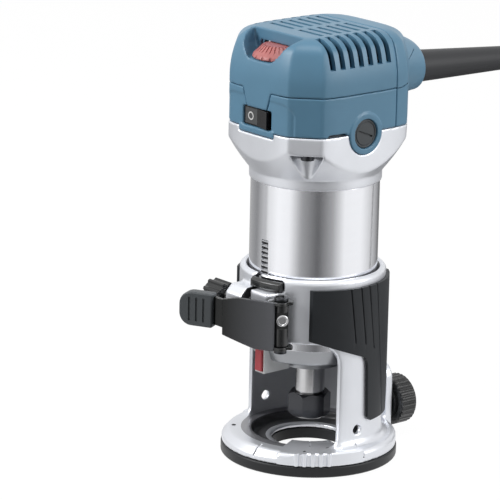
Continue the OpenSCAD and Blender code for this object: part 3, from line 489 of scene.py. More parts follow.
@dataclass(frozen=True)
class PaintedSheen(Finish):
    """A finish with a painted sheen that grows lighter along a level line."""

    foot: Pair = (0.0, 0.0)
    ahead: Pair = (1.0, 0.0)
    length: float = 30.0
    # light: colour of the painted sheen at the end of the line
    light: Colour = (0.1, 0.1, 0.1)

    def tint(self, graph: Graph, patch: Value) -> Value:
        """Paint a sheen that grows lighter along the line.

        Args:
            graph: graph of the material.
            patch: noise of the slow wander.

        Returns:
            The colour with its wander and its painted sheen.
        """
        x, y, _ = graph.parts()
        along = (x - self.foot[0] * MM) * self.ahead[0] + (y - self.foot[1] * MM) * self.ahead[1]
        return graph.mix(along * (1.0 / (self.length * MM)), super().tint(graph, patch), self.light)


TEAL = Finish("teal_plastic", (0.119, 0.274, 0.408), roughness=0.38, grain=0.45, depth=0.016)
SILVER = Finish(
    "silver_enamel", (0.81, 0.83, 0.875), roughness=0.34, metallic=0.6, wander=0.025, grain=0.4, depth=0.010
)
# Silver enamel with a dark liner on the legs' inner faces and painted shade in the base's hollows
LINED_SHADED = LinedShaded(
    "lined_shaded_enamel", SILVER.colour, roughness=0.34, metallic=0.6, wander=0.025, grain=0.4, depth=0.010
)
# Painted shadow in the ring's small hole, its pointer notch and the bottoms of its seams
SHADOW = Finish(
    "painted_shadow", (0.020, 0.020, 0.022), roughness=0.6, wander=0.1, grain=0.4, depth=0.01, gloss=0.2
)
BARREL = Turned(
    "turned_aluminium", (0.87, 0.88, 0.915), roughness=0.15, metallic=1.0, wander=0.03, depth=0.003,
    rough_wander=0.05,
)
NOSE = Turned("turned_flange", (0.36, 0.37, 0.39), roughness=0.32, metallic=0.8, wander=0.03, depth=0.006)
STEEL = Turned("bright_steel", (0.57, 0.57, 0.58), roughness=0.22, metallic=1.0, wander=0.05, depth=0.006)
DARK_STEEL = Finish(
    "dark_steel", (0.058, 0.060, 0.066), roughness=0.16, metallic=0.9, wander=0.15, grain=0.3, depth=0.006
)
LEVER_BLACK = Finish(
    "lever_black", (0.016, 0.017, 0.018), roughness=0.20, wander=0.12, grain=0.6, depth=0.008, coat=0.3,
    gloss=0.6,
)
# Lever plate with a painted sheen: darker at the finger's end, lighter towards the pin
LEVER_PLATE = PaintedSheen(
    "lever_plate", (0.006, 0.007, 0.007), roughness=0.20, wander=0.12, grain=0.6, depth=0.008, gloss=0.28,
    foot=(-3.0, -56.0), ahead=(0.891, 0.454), length=27.0, light=(0.125, 0.129, 0.142),
)
KNOB_BLACK = Finish(
    "knob_black", (0.012, 0.013, 0.014), roughness=0.26, wander=0.12, grain=0.4, depth=0.008, gloss=0.5
)
GRIP = Finish(
    "grip_rubber", (0.031, 0.034, 0.038), roughness=0.47, wander=0.10, grain=0.25, depth=0.026, gloss=0.2
)
BLACK = Finish(
    "black_plastic", (0.014, 0.015, 0.016), roughness=0.40, wander=0.15, grain=0.35, depth=0.016, gloss=0.4
)
PLATE = Finish(
    "plate_plastic", (0.020, 0.021, 0.023), roughness=0.42, wander=0.12, grain=0.4, depth=0.016, gloss=0.3
)
CORD = Finish(
    "cord_rubber", (0.022, 0.023, 0.026), roughness=0.48, wander=0.12, grain=0.5, depth=0.018, gloss=0.4
)
DARK_GREY = Finish(
    "dark_grey_plastic", (0.062, 0.070, 0.076), roughness=0.42, wander=0.10, grain=0.4, depth=0.016,
    gloss=0.4,
)
# Rack steel with painted shade in the tooth gaps
RACK = Toothed(
    "rack_steel", (0.70, 0.71, 0.74), roughness=0.35, metallic=0.1, depth=0.006, roots=-30.6,
    gap=(0.055, 0.056, 0.06),
)
SWITCH = Finish("switch_plastic", (0.018, 0.018, 0.019), roughness=0.25, wander=0.10, grain=0.4, depth=0.006)
SWITCH_GREY = Finish(
    "switch_grey", (0.085, 0.088, 0.090), roughness=0.45, wander=0.08, grain=0.4, depth=0.012, gloss=0.4
)
DIAL_RED = Finish("dial_red", (0.58, 0.20, 0.19), roughness=0.40, wander=0.08, grain=0.4, depth=0.015)
BUTTON_RED = Finish("button_red", (0.55, 0.070, 0.085), roughness=0.35, wander=0.08, grain=0.4, depth=0.012)
PALE = Finish("pale_grey_plastic", (0.86, 0.87, 0.87), roughness=0.40, wander=0.05, grain=0.4, depth=0.015)
COPPER = Finish(
    "copper_wire", (0.56, 0.26, 0.12), roughness=0.35, metallic=0.9, wander=0.2, depth=0.08,
    stretch=(1, 1, 6),
)
IRON = Finish(
    "core_sheet", (0.30, 0.31, 0.32), roughness=0.45, metallic=0.9, wander=0.1, depth=0.05,
    stretch=(0.05, 0.05, 1),
)
BRASS = Finish("pressed_brass", (0.66, 0.48, 0.20), roughness=0.32, metallic=1.0, wander=0.08, depth=0.01)
CARBON = Finish("carbon", (0.045, 0.045, 0.047), roughness=0.6, wander=0.2, grain=0.3, depth=0.03)
BOARD = Finish("circuit_board", (0.04, 0.16, 0.09), roughness=0.4, wander=0.2, grain=0.8, depth=0.03)
WHITE_MARK = Finish("white_mark", (0.80, 0.80, 0.79), roughness=0.5, wander=0.03, grain=0.4, depth=0.008)


# Stock that is cut and eased into pieces


class Blank:
    """Stock in metres that operators shape and place as a piece."""

    def __init__(self, mesh: bmesh.types.BMesh) -> None:
        """Hold a bmesh."""
        self.mesh = mesh

    @classmethod
    def copy_of(cls, *nodes: str) -> "Blank":
        """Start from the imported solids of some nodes.

        Args:
            *nodes: names of nodes.

        Returns:
            Their welded copy.
        """
        mesh = bmesh.new()
        for name in nodes:
            mesh.from_mesh(bpy.data.objects[name].data)
        bmesh.ops.remove_doubles(mesh, verts=mesh.verts, dist=2e-6)
        bmesh.ops.dissolve_limit(
            mesh, angle_limit=math.radians(0.5), use_dissolve_boundaries=False, verts=mesh.verts,
            edges=mesh.edges,
        )
        return cls(mesh)

    @classmethod
    def box(cls, low: Point, high: Point) -> "Blank":
        """Start from a box.

        Args:
            low: lowest corner in millimetres.
            high: highest corner in millimetres.

        Returns:
            The box.
        """
        mesh = bmesh.new()
        size = [(h - l) * MM for l, h in zip(low, high)]
        middle = Vector([(h + l) / 2 * MM for l, h in zip(low, high)])
        place = Matrix.Translation(middle) @ Matrix.Diagonal((*size, 1.0))
        bmesh.ops.create_cube(mesh, size=1.0, matrix=place)
        return cls(mesh)

    @classmethod
    def rod(
        cls, radius: float, start: Point, end: Point, tip: float | None = None, sides: int = 64
    ) -> "Blank":
        """Start from a rod or a cone.

        Args:
            radius: radius at the start in millimetres.
            start: middle of the first end.
            end: middle of the other end.
            tip: radius at the end, the same if left out.
            sides: number of sides.

        Returns:
            The rod.
        """
        a, b = Vector(start) * MM, Vector(end) * MM
        turn = (b - a).to_track_quat("Z", "Y").to_matrix().to_4x4()
        mesh = bmesh.new()
        bmesh.ops.create_cone(
            mesh, cap_ends=True, segments=sides, radius1=radius * MM,
            radius2=(radius if tip is None else tip) * MM, depth=(b - a).length,
            matrix=Matrix.Translation((a + b) / 2) @ turn,
        )
        return cls(mesh)

    @classmethod
    def spun(
        cls, profile: Line, axis: Axis = Axis.Z, foot: Point = (0.0, 0.0, 0.0), steps: int = 128
    ) -> "Blank":
        """Spin a closed profile.

        Args:
            profile: (radius, height) points in millimetres.
            axis: axis of the spin.
            foot: point that the heights start from.
            steps: steps of the spin.

        Returns:
            The turned shape.
        """
        mesh = bmesh.new()
        verts = [mesh.verts.new((r * MM, 0.0, h * MM)) for r, h in profile]
        edges = [mesh.edges.new((verts[i - 1], verts[i])) for i in range(1, len(verts))]
        edges.append(mesh.edges.new((verts[-1], verts[0])))
        bmesh.ops.spin(
            mesh, geom=verts + edges, cent=(0, 0, 0), axis=(0, 0, 1), dvec=(0, 0, 0),
            angle=math.tau, steps=steps, use_merge=True, use_duplicate=False,
        )
        bmesh.ops.remove_doubles(mesh, verts=mesh.verts, dist=1e-7)
        bmesh.ops.dissolve_degenerate(mesh, edges=mesh.edges, dist=1e-8)
        place = Matrix.Translation(Vector(foot) * MM) @ axis.frame()
        bmesh.ops.transform(mesh, matrix=place, verts=mesh.verts)
        bmesh.ops.recalc_face_normals(mesh, faces=mesh.faces)
        return cls(mesh)

    @classmethod
    def prism(
        cls, outline: Line, low: float, high: float, turn: Matrix | None = None
    ) -> "Blank":
        """Extrude an outline.

        Args:
            outline: points in millimetres.
            low: first level.
            high: last level.
            turn: turn and shift of the finished prism, in metres.

        Returns:
            The prism.
        """
        mesh = bmesh.new()
        face = mesh.faces.new([mesh.verts.new((x * MM, y * MM, low * MM)) for x, y in outline])
        grown = bmesh.ops.extrude_face_region(mesh, geom=[face])["geom"]
        moved = [v for v in grown if isinstance(v, bmesh.types.BMVert)]
        bmesh.ops.translate(mesh, verts=moved, vec=(0, 0, (high - low) * MM))
        bmesh.ops.transform(mesh, matrix=turn or Matrix.Identity(4), verts=mesh.verts)
        bmesh.ops.recalc_face_normals(mesh, faces=mesh.faces)
        return cls(mesh)

    @classmethod
    def loft(cls, rings: Sequence[Sequence[Point]]) -> "Blank":
        """Bridge a stack of rings and close its ends.

        Args:
            rings: rings of points in millimetres, with equal counts.

        Returns:
            The closed loft.
        """
        mesh = bmesh.new()
        loops = []
        for ring in rings:
            verts = [mesh.verts.new(Vector(p) * MM) for p in ring]
            loops.append([mesh.edges.new((verts[i], verts[(i + 1) % len(verts)])) for i in range(len(verts))])
        for below, above in zip(loops, loops[1:]):
            bmesh.ops.bridge_loops(mesh, edges=below + above)
        for end in (loops[0], loops[-1]):
            bmesh.ops.contextual_create(mesh, geom=end)
        bmesh.ops.recalc_face_normals(mesh, faces=mesh.faces)
        return cls(mesh)

    def join(self, *others: "Blank") -> "Blank":
        """Take in other blanks as loose shells.

        Args:
            *others: blanks to take in.

        Returns:
            This blank.
        """
        for other in others:
            spare = bpy.data.meshes.new("spare")
            other.mesh.to_mesh(spare)
            self.mesh.from_mesh(spare)
            bpy.data.meshes.remove(spare)
        return self

    def moved(self, matrix: Matrix) -> "Blank":
        """Turn and shift the stock.

        Args:
            matrix: turn and shift, in metres.

        Returns:
            This blank.
        """
        bmesh.ops.transform(self.mesh, matrix=matrix, verts=self.mesh.verts)
        if matrix.determinant() < 0:
            bmesh.ops.reverse_faces(self.mesh, faces=self.mesh.faces)
        return self

    def copy(self) -> "Blank":
        """Return a copy."""
        return Blank(self.mesh.copy())

    def _spare_object(self, name: str) -> bpy.types.Object:
        """Make an object of the stock for a modifier.

        Args:
            name: name of the object.

        Returns:
            The object.
        """
        data = bpy.data.meshes.new(name)
        self.mesh.to_mesh(data)
        return linked(name, data)

    def _through(self, add: Callable[[bpy.types.Object], None]) -> "Blank":
        """Run modifiers and take their result.

        Args:
            add: adds the modifiers to an object.

        Returns:
            This blank with the new mesh.
        """
        made = self._spare_object("work")
        add(made)
        graph = bpy.context.evaluated_depsgraph_get()
        result = bpy.data.meshes.new_from_object(made.evaluated_get(graph))
        self.mesh.free()
        self.mesh = bmesh.new()
        self.mesh.from_mesh(result)
        old = made.data
        bpy.data.objects.remove(made)
        bpy.data.meshes.remove(old)
        bpy.data.meshes.remove(result)
        return self

    def _boolean(self, operation: str, tool: "Blank") -> "Blank":
        """Combine with a tool by an exact boolean.

        Args:
            operation: name of Blender's operation.
            tool: the other blank.

        Returns:
            This blank.
        """
        other = tool._spare_object("tool")

        def add(made: bpy.types.Object) -> None:
            """Add the boolean.

            Args:
                made: object that takes it.
            """
            step = made.modifiers.new("cut", "BOOLEAN")
            step.operation = operation
            step.solver = "EXACT"
            step.object = other

        self._through(add)
        data = other.data
        bpy.data.objects.remove(other)
        bpy.data.meshes.remove(data)
        return self

    def cut(self, *tools: "Blank") -> "Blank":
        """Cut away tools, which stand clear of each other, and return this blank."""
        return self._boolean("DIFFERENCE", tools[0].copy().join(*tools[1:]))

    def keep(self, tool: "Blank") -> "Blank":
        """Keep what lies in a tool and return this blank."""
        return self._boolean("INTERSECT", tool)

    def soften(self, grain: float, passes: int) -> "Blank":
        """Melt the shells into one skin with soft edges.

        Args:
            grain: size of the skin's facets in millimetres.
            passes: passes of smoothing.

        Returns:
            This blank.
        """

        def add(made: bpy.types.Object) -> None:
            """Add the remesh and the smoothing.

            Args:
                made: object that takes them.
            """
            step = made.modifiers.new("skin", "REMESH")
            step.mode = "VOXEL"
            step.voxel_size = grain * MM
            smooth = made.modifiers.new("smooth", "SMOOTH")
            smooth.factor = 0.5
            smooth.iterations = passes

        return self._through(add)

    def ease(self, width: float, limit: float = 35.0, segments: int = 2) -> "Blank":
        """Round the sharp edges.

        Args:
            width: width of the rounding in millimetres.
            limit: angle in degrees over which an edge is sharp.
            segments: segments of the rounding.

        Returns:
            This blank.
        """
        least = math.radians(limit)
        sharp = [e for e in self.mesh.edges if e.is_manifold and e.calc_face_angle(0.0) > least]
        bmesh.ops.bevel(
            self.mesh, geom=sharp, offset=width * MM, offset_type="OFFSET", segments=segments, profile=0.5,
            affect="EDGES", clamp_overlap=True, material=-1,
        )
        return self

    def piece(
        self,
        name: str,
        finish: Finish,
        body: Body | None,
        stands_for: Iterable[str] = (),
        slot: str | None = None,
        crease: float = 40.0,
        level: bool = True,
    ) -> bpy.types.Object:
        """Place the stock as a piece of the model.

        Args:
            name: name of the piece.
            finish: its finish.
            body: body that it rides on, or none for a piece that bends.
            stands_for: nodes that it replaces.
            slot: name of a material slot; not used.
            crease: angle in degrees over which shading breaks.
            level: weigh normals by face area.

        Returns:
            The placed object.
        """
        data = bpy.data.meshes.new(name)
        self.mesh.to_mesh(data)
        self.mesh.free()
        data.polygons.foreach_set("use_smooth", [True] * len(data.polygons))
        data.set_sharp_from_angle(angle=math.radians(crease))
        finish.cover(data)
        made = linked(name, data)
        if level:
            step = made.modifiers.new("level", "WEIGHTED_NORMAL")
            step.keep_sharp = True
        if body:
            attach(made, body.value)
        if stands_for:
            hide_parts(*stands_for)
        LOG.info("piece %s: %d faces", name, len(data.polygons))
        return made


def dress(finish: Finish, *nodes: str) -> None:
    """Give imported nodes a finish.

    Args:
        finish: finish of all of them.
        *nodes: names of nodes.
    """
    for name in nodes:
        finish.cover(bpy.data.objects[name].data)
        LOG.info("node %s: %s", name, finish.name)


def eased(
    node: str, width: float, name: str, finish: Finish, body: Body, slot: str
) -> bpy.types.Object:
    """Place a node's own form again with edges rounded by a width, and return the piece."""
    return Blank.copy_of(node).ease(width).piece(name, finish, body, [node], slot)


# Camera, light and floor


@dataclass
class Studio:
    """Camera, soft light, a pale floor and a dark mat that only metal mirrors."""

    distance: float = 1700.0
    aim_height: float = 115.0
    focal: float = 3372.0
    frame: float = 500.0
    sensor: float = 36.0
    clip: Pair = (0.05, 50.0)
    rise: float = math.radians(14.94)
    roll: float = math.radians(1.22)
    yaw: float = -0.0188
    pitch: float = -0.0055
    side: float = math.radians(48.5)
    lamps: Sequence[tuple[str, Point, Pair, float]] = (
        ("key", (-1.5, -0.4, 1.1), (0.7, 1.0), 22.0),
        ("fill", (1.45, -0.45, 0.75), (0.6, 1.0), 12.5),
        ("top", (0.1, -0.4, 2.1), (0.8, 0.8), 11.0),
    )
    soft: float = 0.08
    floor_grey: float = 0.38
    floor_glow: float = 1.14
    floor_share: float = 0.85
    floor_reach: float = 6.0
    floor_drop: float = 0.0005
    lamp_aim: Point = (0.0, 0.0, 0.11)
    mat_colour: Colour = (0.03, 0.03, 0.034)
    mat_lift: float = 0.001
    mat_reach: Pair = (0.11, 3.0)
    mat_stops: tuple[Pair, ...] = (
        (0.0, 0.25), (0.07, 0.0), (0.13, 0.05), (0.19, 0.66), (0.27, 0.90), (0.34, 0.62), (0.40, 0.08),
        (0.50, 0.05), (0.60, 0.45), (0.68, 0.85), (0.80, 0.55), (0.92, 0.75), (0.97, 0.5),
    )

    def camera(self) -> None:
        """Make the camera at the photograph's viewing angle."""
        ahead = Vector((0, math.cos(self.rise), -math.sin(self.rise)))
        spot = Vector((0, 0, self.aim_height)) - self.distance * ahead
        right = Vector((1, 0, 0))
        ahead = (ahead + self.yaw * right + self.pitch * right.cross(ahead)).normalized()
        right = ahead.cross(Vector((0, 0, 1))).normalized()
        up = right.cross(ahead)
        c, s = math.cos(self.roll), math.sin(self.roll)
        across, upright = c * right + s * up, c * up - s * right
        turn = Matrix((across, upright, -ahead)).transposed().to_4x4()
        data = bpy.data.cameras.new("camera")
        data.sensor_width = self.sensor
        data.lens = self.focal / self.frame * self.sensor
        data.clip_start, data.clip_end = self.clip
        made = linked("camera", data)
        made.matrix_world = Matrix.Rotation(self.side, 4, "Z") @ Matrix.Translation(spot * MM) @ turn
        bpy.context.scene.camera = made

    def lamp(self, name: str, spot: Point, size: Pair, power: float) -> None:
        """Add a soft lamp that faces the object.

        Args:
            name: name of the lamp.
            spot: place in metres, with -Y towards the camera.
            size: width and height in metres.
            power: power in watts.
        """
        data = bpy.data.lights.new(name, "AREA")
        data.shape = "RECTANGLE"
        data.size, data.size_y = size
        data.energy = power
        made = linked(name, data)
        place = Matrix.Rotation(self.side, 4, "Z") @ Vector(spot)
        made.location = place
        made.rotation_euler = (Vector(self.lamp_aim) - place).to_track_quat("-Z", "Y").to_euler()

    def world(self) -> None:
        """Make a white surround that lights softly."""
        world = bpy.data.worlds.new("surround")
        world.use_nodes = True
        graph = Graph(world.node_tree)
        strength = self.soft + graph.seen() * (1.0 - self.soft)
        light = graph.node("ShaderNodeBackground", {}, {"Color": (1.0, 1.0, 1.0), "Strength": strength})
        graph.node("ShaderNodeOutputWorld", {}, {0: light})
        bpy.context.scene.world = world

    def floor(self) -> None:
        """Lay a pale floor that shows white and keeps the object's shadow."""
        mesh = bmesh.new()
        bmesh.ops.create_circle(mesh, cap_ends=True, segments=96, radius=self.floor_reach)
        graph = Graph.of_material("pale_floor")
        cloth = graph.principled(Base_Color=(self.floor_grey,) * 3, Roughness=0.8)
        glow = graph.node("ShaderNodeEmission", {}, {"Color": (1.0, 1.0, 1.0), "Strength": self.floor_glow})
        blend = graph.node("ShaderNodeMixShader", {}, {0: graph.seen() * self.floor_share, 1: cloth, 2: glow})
        graph.end(blend)
        self.prop("floor", mesh, "pale_floor").location = (0, 0, -self.floor_drop)

    def prop(self, name: str, mesh: bmesh.types.BMesh, material: str) -> bpy.types.Object:
        """Place a studio prop.

        Args:
            name: name of the prop.
            mesh: its mesh, freed here.
            material: name of its material.

        Returns:
            The placed object.
        """
        data = bpy.data.meshes.new(name)
        mesh.to_mesh(data)
        mesh.free()
        data.materials.append(bpy.data.materials[material])
        made = linked(name, data)
        return made

    def mat(self) -> None:
        """Lay a ring of dark cloth round the object, which only bright metal mirrors."""
        mesh = bmesh.new()
        ends = [mesh.verts.new((r, 0, 0)) for r in self.mat_reach]
        edge = mesh.edges.new(ends)
        bmesh.ops.spin(
            mesh, geom=[*ends, edge], cent=(0, 0, 0), axis=(0, 0, 1), dvec=(0, 0, 0),
            angle=math.tau, steps=96, use_merge=True, use_duplicate=False,
        )
        graph = Graph.of_material("dark_cloth")
        turn = graph.node("ShaderNodeTexGradient", {"gradient_type": "RADIAL"}, {0: graph.place()}, "Fac")
        stops = [(place, (share,) * 3) for place, share in self.mat_stops]
        cover = graph.node("ShaderNodeValToRGB", {"stops": stops}, {0: turn})
        graph.finish(Base_Color=self.mat_colour, Roughness=0.9, Specular_IOR_Level=0.0, Alpha=cover)
        made = self.prop("mat", mesh, "dark_cloth")
        made.matrix_world = Matrix.Translation((0, 0, self.mat_lift)) @ Matrix.Rotation(self.side, 4, "Z")
        made.visible_camera = made.visible_diffuse = made.visible_shadow = False

    def build(self) -> None:
        """Set up the whole studio."""
        bpy.context.scene.view_settings.view_transform = "Standard"
        self.camera()
        self.world()
        self.floor()
        self.mat()
        for lamp in self.lamps:
            self.lamp(*lamp)


# The cord


@dataclass
class Cord:
    """The cord, its coil, tie and plug."""

    diameter: float = 7.5
    centre: Pair = (0.0, 240.0)
    inner: float = 32.0
    pitch: float = 8.2
    step: float = 8.1
    turns_in: float = 3.5
    turns_over: float = 0.5
    turns_out: float = 3.6389
    dip: float = 2.0
    height: float = 4.8
    tail: float = 24.0
    per_turn: int = 48
    roundness: int = 4
    plug_edge: float = 1.2
    route: tuple[Point, ...] = (
        (0, 145.876, 188.943), (0, 153.476, 188.543), (0.4, 160.977, 187.241), (1.6, 168.978, 184.638),
        (4, 176.98, 180.236), (8, 183.981, 173.234), (13.5, 189.983, 163.631), (20, 194.384, 151.629),
        (27, 196.986, 138.026), (34, 198.187, 123.024), (40.6, 198.389, 107.021), (46.4, 197.991, 91.019),
        (51.2, 197.392, 75.016), (55, 196.994, 59.014), (58, 197.395, 43.611), (60, 199.597, 29.808),
        (60.7, 203.999, 18.403), (60.7, 209.6, 11.2), (60.7, 216, 6.8), (60.7, 223.6, 4.8), (60.7, 232, 4.8),
    )

    def coil_point(self, turns: float) -> Vector:
        """Find a point of the coil's line.

        Args:
            turns: turns from the coil's start.

        Returns:
            The point in millimetres.
        """
        back = turns - self.turns_in
        if back < 0:
            radius = self.inner - self.pitch * back
        elif back < self.turns_over:
            radius = self.inner - self.dip * math.sin(math.tau * back)
        else:
            radius = self.inner + self.pitch * (back - self.turns_over)
        climb = min(1.0, max(0.0, back / self.turns_over))
        angle = math.tau * turns
        return Vector((
            self.centre[0] + radius * math.cos(angle), self.centre[1] + radius * math.sin(angle),
            self.height + self.step * climb * climb * (3 - 2 * climb),
        ))

    def line(self) -> list[Vector]:
        """Trace the whole centreline, from the guard to the plug.

        Returns:
            Its points in metres.
        """
        free = [Vector(p) for p in self.route]
        smooth: list[Vector] = []
        for i in range(len(free) - 1):
            a, b = free[max(i - 1, 0)], free[i]
            c, d = free[i + 1], free[min(i + 2, len(free) - 1)]
            for s in (0.0, 0.25, 0.5, 0.75):
                smooth.append(
                    b + 0.5 * s * ((c - a) + s * ((2 * a - 5 * b + 4 * c - d) + s * (3 * (b - c) + d - a)))
                )
        total = self.turns_in + self.turns_over + self.turns_out
        count = int(total * self.per_turn)
        coil = [self.coil_point(total * k / count) for k in range(count + 1)]
        heading = math.tau * total + math.pi / 2
        end = coil[-1] + self.tail * Vector((math.cos(heading), math.sin(heading), 0))
        return [p * MM for p in [*smooth, free[-1], *coil, end]]

    def build(self) -> None:
        """Make the cord and dress its tie and plug."""
        points = self.line()
        curve = bpy.data.curves.new("cord_line", "CURVE")
        curve.dimensions = "3D"
        curve.bevel_depth = self.diameter / 2 * MM
        curve.bevel_resolution = self.roundness
        curve.use_fill_caps = True
        spline = curve.splines.new("POLY")
        spline.points.add(len(points) - 1)
        for spot, p in zip(spline.points, points):
            spot.co = (*p, 1.0)
        rough = linked("cord_line", curve)
        graph = bpy.context.evaluated_depsgraph_get()
        data = bpy.data.meshes.new_from_object(rough.evaluated_get(graph))
        bpy.data.objects.remove(rough)
        data.name = "mains_cord"
        data.polygons.foreach_set("use_smooth", [True] * len(data.polygons))
        CORD.cover(data)
        made = linked("mains_cord", data)
        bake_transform(made)
        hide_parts("cord", "cord_coil")
        length = sum((b - a).length for a, b in zip(points, points[1:]))
        plug = eased("plug_body", self.plug_edge, "mains_plug", CORD, Body.BASE, "cord_rubber")
        dress(STEEL, "plug_pins")
        dress(BLACK, "coil_tie")
        LOG.info("cord: %.3f m", length)


# Outlines


def quarter(steps: int) -> list[float]:
    """Return the angles of a quarter turn in equal steps, with both ends."""
    return [math.radians(90.0 * k / steps) for k in range(steps + 1)]


def rounded(corners: Sequence[Point], steps: int = 8) -> list[Pair]:
    """Return an outline with round corners.

    Args:
        corners: (x, y, radius) of each corner, in order.
        steps: steps round each corner.

    Returns:
        The outline.
    """
    points = []
    for i, (x, y, radius) in enumerate(corners):
        here = Vector((x, y))
        back = (Vector(corners[i - 1][:2]) - here).normalized()
        ahead = (Vector(corners[(i + 1) % len(corners)][:2]) - here).normalized()
        half = back.angle(ahead) / 2
        middle = here + (back + ahead).normalized() * (radius / math.sin(half))
        start = (here + back * (radius / math.tan(half)) - middle).normalized()
        end = (here + ahead * (radius / math.tan(half)) - middle).normalized()
        for k in range(steps + 1):
            spot = middle + start.slerp(end, k / steps).normalized() * radius
            points.append((spot.x, spot.y))
    return points


def arch(half: float, low: float, high: float, radius: float, steps: int = 6) -> list[Pair]:
    """Return an upright outline with two round upper corners.

    Args:
        half: half of its width in millimetres.
        low: lowest level.
        high: highest level.
        radius: radius of the corners.
        steps: steps round each corner.

    Returns:
        The outline.
    """
    turns, side, top = quarter(steps), half - radius, high - radius
    right = [(side + radius * math.cos(t), top + radius * math.sin(t)) for t in turns]
    return [(-half, low), (half, low), *right, *[(-x, y) for x, y in reversed(right)]]


# The head


@dataclass
class Switch:
    """The rocker switch and its body."""

    rocker_edge: float = 0.4
    rocker_pivot: Point = (0.0, -34.4, 179.9)
    rocker_tilt: float = math.radians(-7.0)
    rocker_rise: float = 1.0
    rocker_slope: float = math.atan2(1.0, 9.6)
    pad: Box = ((-9.3, -5.46, -3.9), (-0.4, -5.2, 3.9))
    mark_profile: Line = ((1.45, 0.0), (2.1, 0.0), (2.1, 0.3), (1.45, 0.3))
    mark_place: Point = (-5.2, -5.6, 0.0)

    def build(self) -> None:
        """Make the rocker with its pad and its round mark."""
        eased("rocker", self.rocker_edge, "switch_rocker", SWITCH, Body.ROCKER, "switch_plastic")
        place = Matrix.Translation(Vector(self.rocker_pivot) * MM) @ Matrix.Rotation(self.rocker_tilt, 4, "Z")
        slope = Matrix.Rotation(self.rocker_slope, 4, "Z")
        place = place @ Matrix.Translation((0, self.rocker_rise * MM, 0)) @ slope
        Blank.box(*self.pad).moved(place).piece("rocker_pad", SWITCH_GREY, Body.ROCKER, slot="switch_plastic")
        mark = Blank.spun(self.mark_profile, Axis.Y, self.mark_place, 48)
        mark.moved(place).piece("rocker_mark", WHITE_MARK, Body.ROCKER)
        dress(BLACK, "switch_body")


